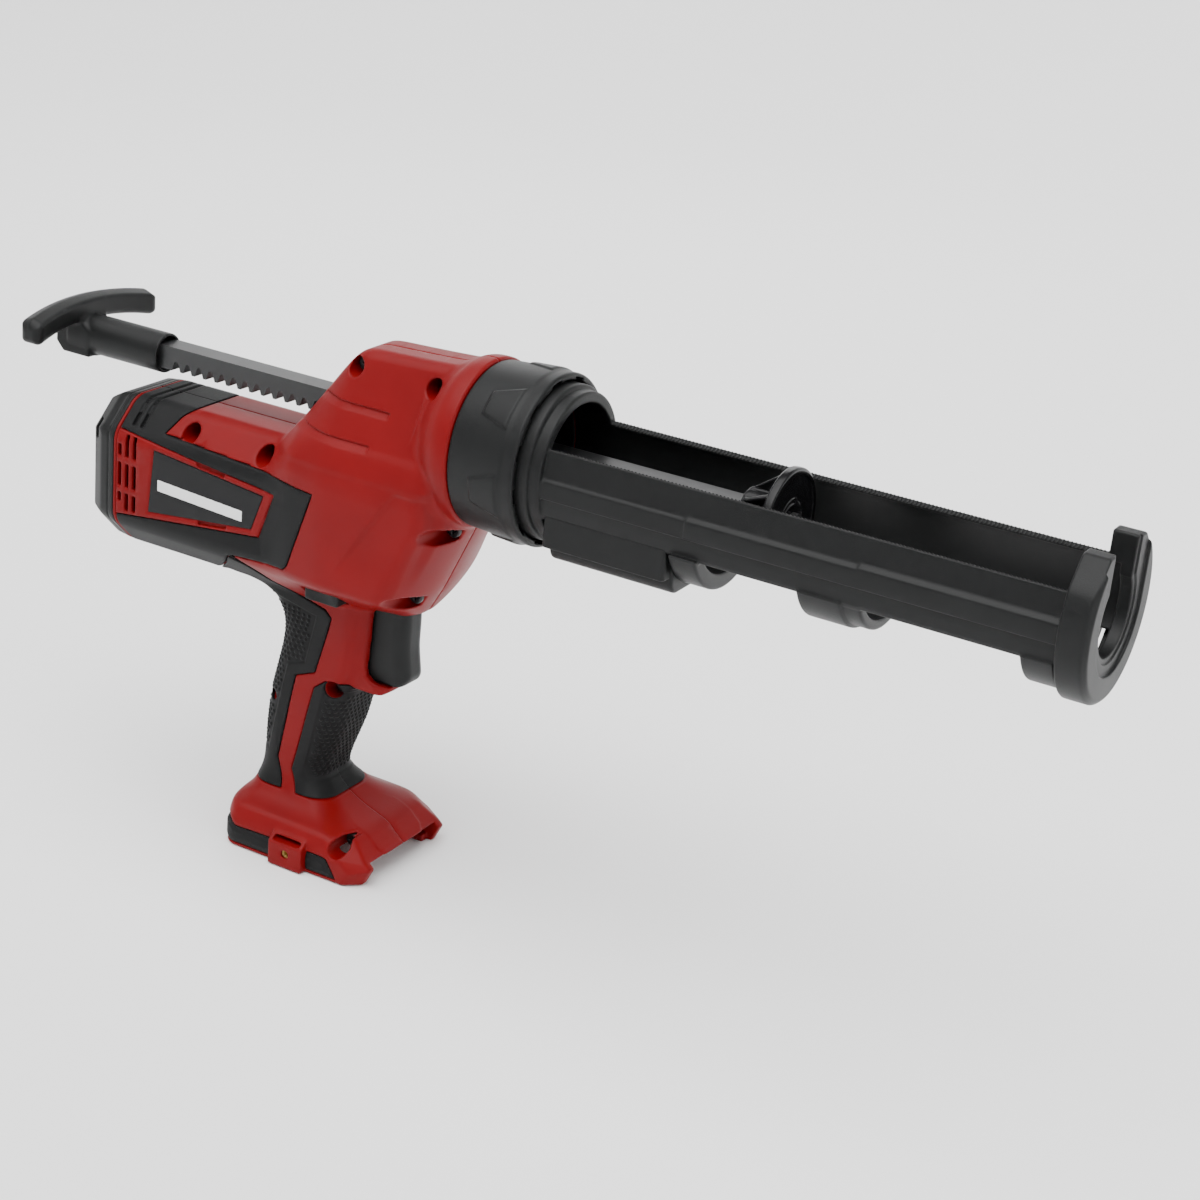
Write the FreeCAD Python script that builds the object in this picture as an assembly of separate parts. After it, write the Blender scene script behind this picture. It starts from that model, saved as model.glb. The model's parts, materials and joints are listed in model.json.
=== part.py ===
import FreeCAD, Part
import math
import os

# Cordless caulking tool, bare of its battery, in millimetres.
# +X points to the muzzle, +Y to the tool's left and +Z up.
# The origin is the middle of the foot's underside.

# Shared clearances and walls
OVERRUN = 2.0            # how far a cutting shape runs past what it cuts
GAP = 0.35               # between pieces that move past each other
FIT = 0.05               # radial clearance of a running shaft
WALL = 2.8               # moulded housing wall
PAD = 1.4                # thickness of the soft overmoulds

# Cartridge line
AXIS_Z = 204.0           # height of the rod, collar and cradle axis
CARTRIDGE_R = 26.0       # bore that a 310 ml cartridge drops into

# Rack rod
ROD_W = 10.5
ROD_H = 10.5
ROD_REAR = -146.0
ROD_FRONT = 190.0
RACK_MODULE = 2.0
RACK_ADDENDUM = 1.7
RACK_DEDENDUM = 2.5
RACK_REAR_TEETH = 19     # gaps behind the pinion at rest
RACK_FRONT_TEETH = 17    # gaps ahead of the pinion at rest
PRESSURE_ANGLE = math.radians(20)
BACKLASH = 0.30
ROD_SCREW_R = 2.0        # threads in both ends of the rod

# Gear train, all on one cross plane
GEAR_X = 28.0
RACK_PINION_TEETH = 16
RACK_PINION_W = 12.0
SPUR_MODULE = 1.5
SPUR_WHEEL_TEETH = 26
SPUR_PINION_TEETH = 17
SPUR_W = 7.0
SPUR_Y = -22.0           # outer face of the spur pair
BEVEL_TEETH = 16
BEVEL_MODULE = 1.5
BEVEL_FACE = 5.0
BEVEL_HUB_R = 8.0
BEVEL_HUB_L = 6.0
SHAFT_R = 5.0
SHAFT_HALF = 31.0        # half length of both cross shafts
BEARING_R = 9.5
BEARING_W = 6.0
BEARING_WALL = 3.0
OUTPUT_R = 4.0

RACK_PITCH = math.pi * RACK_MODULE
ROD_TOP = AXIS_Z + ROD_H / 2
ROD_BOTTOM = AXIS_Z - ROD_H / 2
PITCH_Z = ROD_BOTTOM + RACK_ADDENDUM
RACK_PINION_R = RACK_MODULE * RACK_PINION_TEETH / 2
PINION_Z = PITCH_Z - RACK_PINION_R
SPUR_WHEEL_R = SPUR_MODULE * SPUR_WHEEL_TEETH / 2
SPUR_PINION_R = SPUR_MODULE * SPUR_PINION_TEETH / 2
MOTOR_Z = PINION_Z - SPUR_WHEEL_R - SPUR_PINION_R
BEVEL_R = BEVEL_MODULE * BEVEL_TEETH / 2

# Gearmotor
MOTOR_R = 18.5
MOTOR_REAR = -100.0
MOTOR_BOSS_R = 6.0
MOTOR_BOSS_L = 3.0
GEARBOX_R = 22.0
GEARBOX_REAR = -46.0
GEARBOX_FRONT = -6.0
GEARBOX_NOSE_R = 10.0
GEARBOX_NOSE_L = 6.0
RIB_W = 4.0
MOTOR_RIB_SHARES = (0.16, 0.80)      # along the motor can
GEARBOX_RIB_SHARES = (0.20, 0.80)    # along the gearbox

# Motor housing, an octagon in section
BARREL_REAR = -104.0
BARREL_LIFT = 2.0        # its middle above the motor axis
BARREL_HALF_W = 31.0
BARREL_HALF_H = 34.0
BARREL_CHAMFER = 14.0
BARREL_Z = MOTOR_Z + BARREL_LIFT
END_CAP_L = 16.0
END_CAP_TAPER_SHARES = (0.0, 0.0, 0.45, 0.04, 1.0, 0.17)   # pairs: along the cap, drawn in

# Gear case and hump
CASE_REAR = -16.0
CASE_CREST = 9.0         # where the hump reaches its height
CASE_FLAT = 40.0         # where the flat flanks end
CASE_SEAT = 60.0         # where the collar seat starts
CASE_FRONT = 69.3
CASE_HALF = 36.0
CASE_REAR_HALF = 31.0
HUMP_HALF = 12.0
HUMP_REAR_Z = 199.0
HUMP_CREST_Z = 233.5
HUMP_FRONT_Z = 236.0
SHOULDER_Z = 197.0
SHOULDER_REAR_Z = 187.0
FLANK_LOW_Z = 135.0
UNDER_HALF = 18.0
UNDER_Z = 121.0
CHIN_REAR = 30.0
CHIN_NOSE_HALF = 6.0
CHIN_BEVEL = 8.0         # how far the chin's corners lie behind its nose
CHIN_TOP_Z = 196.0
CHIN_BROW_Z = 170.0
CHIN_FRONT_X = 66.0
CHIN_TIP_Z = 135.0
CHIN_TIP_X = 50.5
CHIN_LOW_X = 41.0
CHIN_LOW_Z = 118.0
SEAT_R = 35.8
SEAT_RAMP_REAR = 44.0    # where the ramp up to the seat leaves the case
SEAT_RAMP_R = 24.0
SEAT_RAMP_FRONT = 61.0

# Nose, collar and snap ring
NOSE_R = 31.0
NOSE_BORE_R = 26.5
NOSE_FRONT = 92.4
FRONT_WALL = 7.0
SNAP_R = 32.4
SNAP_W = 2.0
SNAP_X = 80.0
COLLAR_FRONT = 100.7
COLLAR_REAR_R = 34.8
COLLAR_FRONT_R = 36.6
COLLAR_LIP = 3.8
COLLAR_RIB_H = 0.8
COLLAR_RIBS = 6

# Cradle
FLANGE_R = 34.0
FLANGE_L = 3.6
NECK_R = 32.5
ARCH_FRONT = 110.0
RAIL_TOP = 13.8          # above the axis
RAIL_BOTTOM = -15.2      # below the axis
RAIL_TOP_Y = 25.5
RAIL_RIDGE_Y = 29.0
RAIL_RIDGE_Z = 2.0
RAIL_KEEL_Y = 29.6
RAIL_KEEL_Z = -5.5
RAIL_FOOT_Y = 26.5
RAIL_INNER_Y = 20.0
RAIL_PANEL_H = 0.7
PANEL_REAR = 174.0
PANEL_FRONT = 246.0
PAD_REAR = 104.0
PAD_FRONT = 168.0
PAD_Y = 27.0
PAD_SIDE_Z = -27.0
PAD_FLOOR_Y = 20.0
PAD_FLOOR_Z = -34.0
HOOP_R = 31.3
HOOP_1_L = 12.0
HOOP_2_REAR = 222.0
HOOP_2_L = 26.0
HOOP_3_REAR = 311.0
HOOP_3_L = 13.0

# Front cap
CAP_FRONT = 337.0
CAP_PLATE = 7.0
CAP_BAND = 5.0           # skirt behind the plate
CAP_R = 34.1
CAP_SKIRT_R = 30.2
CAP_TOP = 26.8           # arm tops above the axis
CAP_SLOT_HALF = 12.4
CAP_OPENING_R = 16.5
CAP_STEP_R = 24.4
CAP_STEP = 1.2
CAP_WINDOW_W = 6.0
CAP_WINDOW_Y = 9.0

# Plunger
PLUNGER_R = 22.5
PLUNGER_FRONT = 204.5
PLUNGER_DISC = 4.0
PLUNGER_HUB_R = 11.0
PLUNGER_HUB_REAR = 186.0
PLUNGER_RIB_W = 2.4
PLUNGER_RIBS = 8
PLUNGER_SCREW_HEAD_R = 5.0
PLUNGER_SCREW_HEAD = 2.6
PLUNGER_SCREW_L = 10.0

# Pull handle
SLEEVE_R = 8.8
SLEEVE_FRONT = -100.0
BLOCK_REAR = -157.0
BLOCK_FRONT = -138.0
BLOCK_HALF = 9.0
BLOCK_CHAMFER = 4.0
BAR_X = -147.5
BAR_HALF = 40.0
BAR_RISE = 11.5          # bar middle above the rod axis
BAR_DROOP = 4.0
BAR_DEEP = 11.0
BAR_TALL = 13.0
BAR_STATION_SHARES = (-1.0, -0.93, -0.55, 0.0, 0.55, 0.93, 1.0)
BAR_FULLNESS_SHARES = (0.45, 0.82, 1.0, 1.0, 1.0, 0.82, 0.45)
HANDLE_SCREW_L = 12.0
HANDLE_SCREW_HEAD_R = 4.0
HANDLE_SCREW_HEAD = 3.0

# Rod bushes and the sleeve's pocket in the hump
BUSH_HALF = 10.0
BUSH_CLEAR = 0.10
REAR_BUSH = -5.0
FRONT_BUSH = 50.0
BUSH_L = 9.0
BUSH_SEAT_Z = 188.0
POCKET_R = 9.8

# Grip, lofted through level sections: height, rear, front, half width
GRIP_TOP = 127.0
GRIP_FOOT = 33.0
GRIP_HALF = 17.0
GRIP_HEIGHT = GRIP_TOP - GRIP_FOOT
GRIP_REAR = -32.5
GRIP_REACH = 59.5        # from the foot's rear to the trigger's face
GRIP_STATION_SHARES = (0.0, 0.18, 0.39, 0.54, 0.65, 0.82, 1.0)
GRIP_REAR_SHARES = (0.0, 0.01, 0.05, 0.105, 0.145, 0.13, -0.06)
GRIP_FRONT_SHARES = (0.53, 0.61, 0.72, 0.84, 0.965, 1.0, 1.0)
GRIP_FULLNESS_SHARES = (0.94, 0.95, 1.0, 1.0, 1.0, 1.0, 1.03)
GRIP_CORNER = 11.0
# Jaw under the trigger: along X, height
JAW_OUTLINE = ((14.0, 82.3), (29.5, 82.3), (32.0, 84.3), (32.0, 86.2), (28.0, 87.4), (25.2, 89.6),
               (23.6, 93.0), (23.0, 98.0), (14.0, 98.0))
JAW_HALF = 12.5

# Foot, with the battery's slide-in socket
FOOT_REAR = -36.0
FOOT_FRONT = 37.0
FOOT_HALF = 34.5
FOOT_LIP_X = 41.0
FOOT_LIP_Z = 8.0
FOOT_TOP_Z = 18.0
FOOT_TOP_FRONT = 29.0
FOOT_TOP_HALF = 30.0
FOOT_CORNER = 6.0
FLARE_SHARES = (0.0, 0.27, 0.60, 1.0)            # up the flare
FLARE_WIDTH_SHARES = (1.0, 0.50, 0.18, 0.0)      # of the foot's extra width
FLARE_FRONT_SHARES = (1.0, 0.57, 0.20, 0.0)      # of the foot's extra reach
SOCKET_HALF = 25.0
SOCKET_REAR = -27.0
SOCKET_TOP = 12.0
RAIL_LIP_Z = 3.5
RAIL_LIP_IN = 4.0
BLOCK_TOP = 23.0
TERMINAL_HALF = 15.0
TERMINAL_FRONT = 6.0
BLADE_W = 1.0
BLADE_L = 12.0
BLADE_H = 6.0
BLADE_PLACE_SHARES = (-0.75, -0.25, 0.25, 0.75)
BOARD_T = 1.6
BOARD_HALF = 12.0
BOARD_INSET = 4.0

# Switch, trigger and lock button
SWITCH_REAR = -13.0
SWITCH_FRONT = 5.0
SWITCH_HALF = 9.0
SWITCH_LOW = 97.0
SWITCH_HIGH = 119.0
TRIGGER_REAR = 20.5
TRIGGER_FRONT = 39.5
TRIGGER_HALF = 8.5
TRIGGER_LOW = 86.5
TRIGGER_HIGH = 117.0
TRIGGER_TRAVEL = 7.0
TRIGGER_EAR = 1.6
TRIGGER_EAR_L = 2.5
TRIGGER_ROUND = 6.5
TRIGGER_TOE_SHARE = 0.18
PLUNGE_R = 3.0           # switch plunger behind the trigger
SPRING_R = 4.6
SPRING_WIRE = 0.8
LOCK_REAR = -2.0
LOCK_FRONT = 15.0
LOCK_LOW = 123.6
LOCK_HIGH = 129.4
LOCK_HALF = 27.0
LOCK_TRAVEL = 3.0

# Housing screws: along X, height, depth of the head's seat
SCREW_R = 2.0
SCREW_HEAD_R = 3.6
SCREW_HEAD = 2.6
SCREW_RECESS_R = 4.2
SCREW_BOSS_R = 6.0
SCREW_TIP = 9.0
HUMP_SCREWS_X = (10.0, 50.0)
HUMP_SCREW_DROP = 7.5    # below the hump's crest
HUMP_SCREW_SEAT = 9.0
MOTOR_SCREWS_X = (-67.0, -27.0)
MOTOR_SCREW_Z = 180.5
MOTOR_SCREW_SEAT = 15.0
CHIN_SCREW_X = 60.0
CHIN_SCREW_Z = 166.5
CHIN_SCREW_SEAT = 12.0
JAW_SCREW_X = 45.0
JAW_SCREW_Z = 133.5
JAW_SCREW_SEAT = 14.0
GRIP_SCREW_INSET = 8.1   # behind the grip's front
GRIP_SCREW_UP_SHARE = 0.50
GRIP_SCREW_SEAT = 10.0
FOOT_SCREW_X = 25.0
FOOT_SCREW_Z = 16.0
FOOT_SCREW_SEAT = 22.0

# Belt-hook boss on each side of the foot
HOOK_X = 1.5
HOOK_HALF = 9.0
HOOK_TOP = 17.5
HOOK_OUT = 38.0
HOOK_HOLE_Z = 6.5
HOOK_HOLE_R = 2.0
INSERT_R = 3.2
INSERT_L = 8.0
HOOK_SLOT_H = 2.0
HOOK_SLOT_Z = 13.5
HOOK_SLOT_DEEP = 3.0

# Soft overmoulds, label plates and vents, drawn on the tool's side
BAND_TOP_Z = 181.0
BAND_TOP_FRONT = -84.0
BAND_TIP_X = -5.0
BAND_TIP_Z = 173.0
BAND_TOE_X = -17.0
BAND_TOE_Z = 136.0
BAND_LOW_Z = 133.0
FRAME_TOP_Z = 176.0
FRAME_TIP_X = -22.0
FRAME_TIP_Z = 165.0
FRAME_TOE_X = -29.0
FRAME_TOE_Z = 146.5
FRAME_LOW_Z = 137.5
LABEL_REAR = -83.0
LABEL_INSET = 3.0
LABEL_T = 1.0
VENT_W = 1.9
VENT_XS = (-100.6, -96.6, -92.6)
# Lowest and highest point of each slot in a column
VENT_SPANS = (((143.4, 147.6), (150.4, 161.3), (164.4, 169.6)),
              ((139.4, 147.4), (150.2, 161.1), (164.0, 174.2)),
              ((139.6, 147.2), (150.0, 160.9), (163.8, 174.0)))
# Grip panels: across the grip, up the grip
FRONT_PAD_SHARES = ((0.40, 0.02), (1.30, 0.02), (1.30, 0.49), (0.52, 0.49), (0.42, 0.42))
REAR_PAD_SHARES = ((-0.30, 0.02), (0.27, 0.02), (0.20, 0.40), (0.26, 0.52), (0.50, 0.58),
                   (0.58, 0.84), (0.40, 0.95), (-0.30, 0.98))
FOOT_PAD_TOP = 13.0
FOOT_PAD_LOW = 2.0
FOOT_PAD_FRONT = 22.0

V = FreeCAD.Vector
X_DIR = V(1, 0, 0)
Y_DIR = V(0, 1, 0)
FAR = CAP_FRONT - BLOCK_REAR     # larger than the whole tool


# Basic shapes

def closed_wire(points):
    """A straight-sided loop through the points."""
    return Part.makePolygon(list(points) + [points[0]])


def slab_y(outline, y_low, y_high):
    """An X-Z outline drawn out from y_low to y_high."""
    wire = closed_wire([V(x, y_low, z) for x, z in outline])
    return Part.Face(wire).extrude(V(0, y_high - y_low, 0))


def slab_x(outline, x_low, x_high):
    """A Y-Z outline drawn out from x_low to x_high."""
    wire = closed_wire([V(x_low, y, z) for y, z in outline])
    return Part.Face(wire).extrude(V(x_high - x_low, 0, 0))


def box(x_low, x_high, y_low, y_high, z_low, z_high):
    """A block between two corners."""
    corner = V(x_low, y_low, z_low)
    return Part.makeBox(x_high - x_low, y_high - y_low, z_high - z_low, corner)


def bar_x(radius, x_low, x_high, y=0.0, z=AXIS_Z):
    """A round bar along X."""
    return Part.makeCylinder(radius, x_high - x_low, V(x_low, y, z), X_DIR)


def bar_y(radius, y_low, y_high, x, z):
    """A round bar along Y."""
    return Part.makeCylinder(radius, y_high - y_low, V(x, y_low, z), Y_DIR)


def tube_x(outer, inner, x_low, x_high):
    """A round tube on the cartridge axis."""
    hole = bar_x(inner, x_low - OVERRUN, x_high + OVERRUN)
    return bar_x(outer, x_low, x_high).cut(hole)


def joined(shapes):
    """One solid from several that touch or overlap."""
    whole = None
    for shape in shapes:
        for solid in shape.Solids:
            whole = solid if whole is None else whole.fuse(solid)
    refined = whole.removeSplitter()
    return refined.Solids[0] if len(refined.Solids) == 1 else refined


def both_sides(shape):
    """A right-hand shape and its mirror image."""
    return [shape, shape.mirror(V(0, 0, 0), Y_DIR)]


def right_of(shape):
    """What lies on the tool's right, towards -Y."""
    return shape.common(box(-FAR, FAR, -FAR, 0, -FAR, FAR))


def rounded_section(z, rear, front, half, corner):
    """A level rounded rectangle as a wire of lines and quarter arcs."""
    diagonal = corner * (1 - math.sqrt(0.5))
    low, high = rear + corner, front - corner
    side = half - corner
    edges = [
        Part.LineSegment(V(low, -half, z), V(high, -half, z)),
        Part.Arc(V(high, -half, z), V(front - diagonal, -half + diagonal, z), V(front, -side, z)),
        Part.LineSegment(V(front, -side, z), V(front, side, z)),
        Part.Arc(V(front, side, z), V(front - diagonal, half - diagonal, z), V(high, half, z)),
        Part.LineSegment(V(high, half, z), V(low, half, z)),
        Part.Arc(V(low, half, z), V(rear + diagonal, half - diagonal, z), V(rear, side, z)),
        Part.LineSegment(V(rear, side, z), V(rear, -side, z)),
        Part.Arc(V(rear, -side, z), V(rear + diagonal, -half + diagonal, z), V(low, -half, z)),
    ]
    return Part.Wire([edge.toShape() for edge in edges])


def lofted(sections, ruled=True):
    """A solid through a row of wires."""
    return Part.makeLoft(sections, True, ruled)


# Gears

def involute_outline(module, teeth, addendum, dedendum, phase):
    """Points of a spur gear about the origin, with a tooth at the phase angle."""
    pitch_r = module * teeth / 2
    base_r = pitch_r * math.cos(PRESSURE_ANGLE)
    tip_r = pitch_r + addendum
    root_r = pitch_r - dedendum
    start_r = max(base_r, root_r)
    half_pitch = (math.pi * module / 2 - BACKLASH) / 2 / pitch_r
    pitch_roll = math.tan(PRESSURE_ANGLE) - PRESSURE_ANGLE
    steps = 5
    flank = []
    for step in range(steps + 1):
        radius = start_r + (tip_r - start_r) * step / steps
        angle = math.acos(min(1.0, base_r / radius))
        flank.append((radius, half_pitch + pitch_roll - math.tan(angle) + angle))
    points = []
    for tooth in range(teeth):
        middle = phase + 2 * math.pi * tooth / teeth
        rise = [(root_r, -flank[0][1])] + [(r, -a) for r, a in flank]
        fall = [(r, a) for r, a in reversed(flank)] + [(root_r, flank[0][1])]
        for radius, angle in rise + fall:
            points.append((radius * math.cos(middle + angle), radius * math.sin(middle + angle)))
    return points


def spur_gear(module, teeth, addendum, y_low, y_high, z, phase):
    """A spur gear on a cross shaft, bored for it."""
    outline = involute_outline(module, teeth, addendum, module * RACK_DEDENDUM / RACK_MODULE, phase)
    placed = [(GEAR_X + x, z + up) for x, up in outline]
    hole = bar_y(SHAFT_R, y_low - OVERRUN, y_high + OVERRUN, GEAR_X, z)
    return slab_y(placed, y_low, y_high).cut(hole)


def bevel_gear(axis, across, phase, bore_r):
    """A mitre gear whose cone tip is where the two shafts cross.

    axis points from the cone tip to the gear's back, across is a direction square to it.
    """
    tip = V(GEAR_X, 0, MOTOR_Z)
    third = axis.cross(across)
    cone = BEVEL_R * math.sqrt(2)
    inner_share = (cone - BEVEL_FACE) / cone
    addendum = BEVEL_MODULE
    dedendum = BEVEL_MODULE * RACK_DEDENDUM / RACK_MODULE
    slope = math.sqrt(0.5)

    def place(share, height, around, sideways):
        """A point at a share of the cone's length and a height off the pitch cone."""
        along = (cone * slope - height * slope) * share
        out = (cone * slope + height * slope) * share
        spoke = across * math.cos(around) + third * math.sin(around)
        aside = third * math.cos(around) - across * math.sin(around)
        return tip + axis * along + spoke * out + aside * (sideways * share)

    root_outer = (cone * slope + dedendum * slope, cone * slope - dedendum * slope)
    root_inner = (root_outer[0] * inner_share, root_outer[1] * inner_share)
    blank = Part.makeCone(root_inner[1], root_outer[1], root_outer[0] - root_inner[0],
                          tip + axis * root_inner[0], axis)
    hub = Part.makeCylinder(BEVEL_HUB_R, BEVEL_HUB_L, tip + axis * root_outer[0], axis)
    thick = math.pi * BEVEL_MODULE / 4 - BACKLASH
    lean = math.tan(PRESSURE_ANGLE)
    sink = dedendum * (1 + RACK_ADDENDUM / cone)
    corners = ((-sink, -1), (addendum, -1), (addendum, 1), (-sink, 1))
    teeth = []
    for number in range(BEVEL_TEETH):
        around = phase + 2 * math.pi * number / BEVEL_TEETH
        ends = []
        for share in (1.0, inner_share):
            points = [place(share, h, around, side * (thick - h * lean)) for h, side in corners]
            ends.append(closed_wire(points))
        teeth.append(lofted(ends))
    hole = Part.makeCylinder(bore_r, FAR, tip, axis)
    return joined([blank, hub] + teeth).cut(hole)


# Outer form of the housing, drawn in by an inset for its hollow and its overmoulds

def barrel_form(inset, rear=BARREL_REAR, front=CASE_CREST):
    """The eight-sided motor housing."""
    half_w = BARREL_HALF_W - inset
    half_h = BARREL_HALF_H - inset
    flat_y = BARREL_HALF_W - BARREL_CHAMFER - inset * math.tan(math.pi / 8)
    flat_z = BARREL_HALF_H - BARREL_CHAMFER - inset * math.tan(math.pi / 8)
    outline = [(-half_w, -flat_z), (-flat_y, -half_h), (flat_y, -half_h), (half_w, -flat_z),
               (half_w, flat_z), (flat_y, half_h), (-flat_y, half_h), (-half_w, flat_z)]
    return slab_x([(y, BARREL_Z + z) for y, z in outline], rear, front)


def case_section(x, top_half, top, half, shoulder, low, under_half, under):
    """One upright section of the gear case."""
    right = [(top_half, top), (half, shoulder), (half, low), (under_half, under)]
    left = [(-y, z) for y, z in reversed(right)]
    return closed_wire([V(x, y, z) for y, z in right + left])


def case_form(inset):
    """Hump, flanks, chin and the round seat behind the collar."""
    top_half = HUMP_HALF - inset / 2
    half = CASE_HALF - inset
    low = FLANK_LOW_Z + inset / 2
    under_half = UNDER_HALF - inset / 2
    rear = case_section(CASE_REAR + inset, top_half, HUMP_REAR_Z - inset, CASE_REAR_HALF - inset,
                        SHOULDER_REAR_Z, low, under_half, UNDER_Z + inset)
    crest = case_section(CASE_CREST + inset, top_half, HUMP_CREST_Z - inset, half,
                         SHOULDER_Z - inset / 2, low, under_half, UNDER_Z + inset)
    flat = case_section(CASE_FLAT, top_half, (HUMP_CREST_Z + HUMP_FRONT_Z) / 2 - inset, half,
                        SHOULDER_Z - inset / 2, low, under_half, CHIN_LOW_Z + inset)
    hump = lofted([rear, crest, flat])
    seat_front = CASE_FRONT - inset - (FRONT_WALL - WALL if inset else 0)
    brow_outline = [(top_half, HUMP_FRONT_Z - inset), (half, SHOULDER_Z), (-half, SHOULDER_Z),
                    (-top_half, HUMP_FRONT_Z - inset)]
    brow = slab_x(brow_outline, CASE_FLAT - OVERRUN, CASE_SEAT - inset)
    ramp = Part.makeCone(SEAT_RAMP_R - inset, SEAT_R - inset, SEAT_RAMP_FRONT - SEAT_RAMP_REAR,
                         V(SEAT_RAMP_REAR, 0, AXIS_Z), X_DIR)
    seat = bar_x(SEAT_R - inset, SEAT_RAMP_FRONT, seat_front)
    return joined([hump, brow, ramp, seat, chin_form(inset)])


def chin_form(inset):
    """The chin under the collar: a blunt nose that slopes back, drawn in below."""
    half = CASE_HALF - inset
    nose = CHIN_NOSE_HALF - inset / 2
    low = CHIN_LOW_Z + inset
    levels = []
    for z, front in ((low, CHIN_LOW_X), (CHIN_TIP_Z, CHIN_TIP_X), (CHIN_BROW_Z, CHIN_FRONT_X),
                     (CHIN_TOP_Z, CHIN_FRONT_X)):
        front -= inset
        right = [(CHIN_REAR, half), (front - CHIN_BEVEL, half), (front, nose)]
        levels.append(closed_wire([V(x, y, z) for x, y in right + [(x, -y) for x, y in reversed(right)]]))
    flank = [(half, CHIN_TOP_Z), (half, FLANK_LOW_Z + inset / 2), (UNDER_HALF - inset / 2, low)]
    section = slab_x(flank + [(-y, z) for y, z in reversed(flank)], CHIN_REAR, CASE_FRONT)
    return lofted(levels).common(section).Solids[0]


def grip_form(inset):
    """The pistol grip."""
    sections = []
    rows = zip(GRIP_STATION_SHARES, GRIP_REAR_SHARES, GRIP_FRONT_SHARES, GRIP_FULLNESS_SHARES)
    for station, rear, front, fullness in rows:
        sections.append(rounded_section(GRIP_FOOT + GRIP_HEIGHT * station,
                                        GRIP_REAR + GRIP_REACH * rear + inset,
                                        GRIP_REAR + GRIP_REACH * front - inset,
                                        GRIP_HALF * fullness - inset, GRIP_CORNER - inset))
    return lofted(sections)


def foot_form():
    """The flared foot, solid."""
    grip_half = GRIP_HALF * GRIP_FULLNESS_SHARES[0]
    grip_front = GRIP_REAR + GRIP_REACH * GRIP_FRONT_SHARES[0]
    plate = lofted([
        rounded_section(0, FOOT_REAR, FOOT_FRONT, FOOT_HALF, FOOT_CORNER),
        rounded_section(FOOT_LIP_Z, FOOT_REAR, FOOT_LIP_X, FOOT_HALF, FOOT_CORNER),
        rounded_section(FOOT_TOP_Z, FOOT_REAR, FOOT_TOP_FRONT, FOOT_TOP_HALF, FOOT_CORNER),
    ])
    sections = []
    for up, wide, reach in zip(FLARE_SHARES, FLARE_WIDTH_SHARES, FLARE_FRONT_SHARES):
        corner = GRIP_CORNER + (FOOT_CORNER - GRIP_CORNER) * wide
        sections.append(rounded_section(FOOT_TOP_Z + (GRIP_FOOT - FOOT_TOP_Z) * up,
                                        GRIP_REAR + (FOOT_REAR - GRIP_REAR) * wide,
                                        grip_front + (FOOT_TOP_FRONT - grip_front) * reach,
                                        grip_half + (FOOT_TOP_HALF - grip_half) * wide, corner))
    hook = slab_x([(0, 0), (HOOK_OUT, 0), (HOOK_OUT, HOOK_SLOT_Z - HOOK_SLOT_H),
                   (FOOT_TOP_HALF, HOOK_TOP), (0, HOOK_TOP)],
                  HOOK_X - HOOK_HALF, HOOK_X + HOOK_HALF)
    return joined([plate, lofted(sections)] + both_sides(hook))


def nose_form():
    """The nose that carries the collar, with its snap ring."""
    nose = tube_x(NOSE_R, NOSE_BORE_R, CASE_FRONT - OVERRUN, NOSE_FRONT)
    return joined([nose, tube_x(SNAP_R, NOSE_BORE_R, SNAP_X, SNAP_X + SNAP_W)])


# Side outlines of the overmoulds, label plates and vents

def band_outline():
    """The soft frame round the motor housing's side, open to the rear."""
    top = BARREL_Z + BARREL_HALF_H + OVERRUN
    return [(BARREL_REAR, top), (BAND_TOP_FRONT, top), (BAND_TOP_FRONT + LABEL_INSET, BAND_TOP_Z),
            (BAND_TIP_X, BAND_TIP_Z), (BAND_TOE_X, BAND_TOE_Z), (BARREL_REAR, BAND_LOW_Z),
            (BARREL_REAR, FRAME_LOW_Z), (FRAME_TOE_X, FRAME_TOE_Z), (FRAME_TIP_X, FRAME_TIP_Z),
            (BARREL_REAR, FRAME_TOP_Z)]


def label_outline():
    """The plate inside the red frame."""
    return [(LABEL_REAR, FRAME_TOP_Z - 2 * LABEL_INSET), (FRAME_TIP_X - LABEL_INSET, FRAME_TIP_Z),
            (FRAME_TOE_X - LABEL_INSET, FRAME_TOE_Z), (LABEL_REAR, FRAME_LOW_Z + LABEL_INSET)]


def grip_x(share, station):
    """A place across the grip at a share of its height."""
    for low in range(len(GRIP_STATION_SHARES) - 1):
        high = low + 1
        if station <= GRIP_STATION_SHARES[high]:
            break
    span = GRIP_STATION_SHARES[high] - GRIP_STATION_SHARES[low]
    mix = (station - GRIP_STATION_SHARES[low]) / span
    rear = GRIP_REAR_SHARES[low] + (GRIP_REAR_SHARES[high] - GRIP_REAR_SHARES[low]) * mix
    front = GRIP_FRONT_SHARES[low] + (GRIP_FRONT_SHARES[high] - GRIP_FRONT_SHARES[low]) * mix
    return GRIP_REAR + GRIP_REACH * (rear + (front - rear) * share)


def grip_outline(pairs):
    """Pairs of across share and height share, as an X-Z outline."""
    return [(grip_x(across, up), GRIP_FOOT + GRIP_HEIGHT * up) for across, up in pairs]


def overmould(form, outline):
    """The right-hand soft skin inside a side outline."""
    return right_of(form(0).cut(form(PAD))).common(slab_y(outline, -FAR, 0))


def front_pad():
    """Right-hand soft panel on the grip's front."""
    return overmould(grip_form, grip_outline(FRONT_PAD_SHARES))


def rear_pad():
    """Right-hand soft panel on the grip's rear."""
    return overmould(grip_form, grip_outline(REAR_PAD_SHARES))


def motor_band():
    """Right-hand soft frame on the motor housing, cut off where the gear case begins."""
    band = overmould(barrel_form, band_outline())
    return band.cut(case_form(0))


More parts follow.
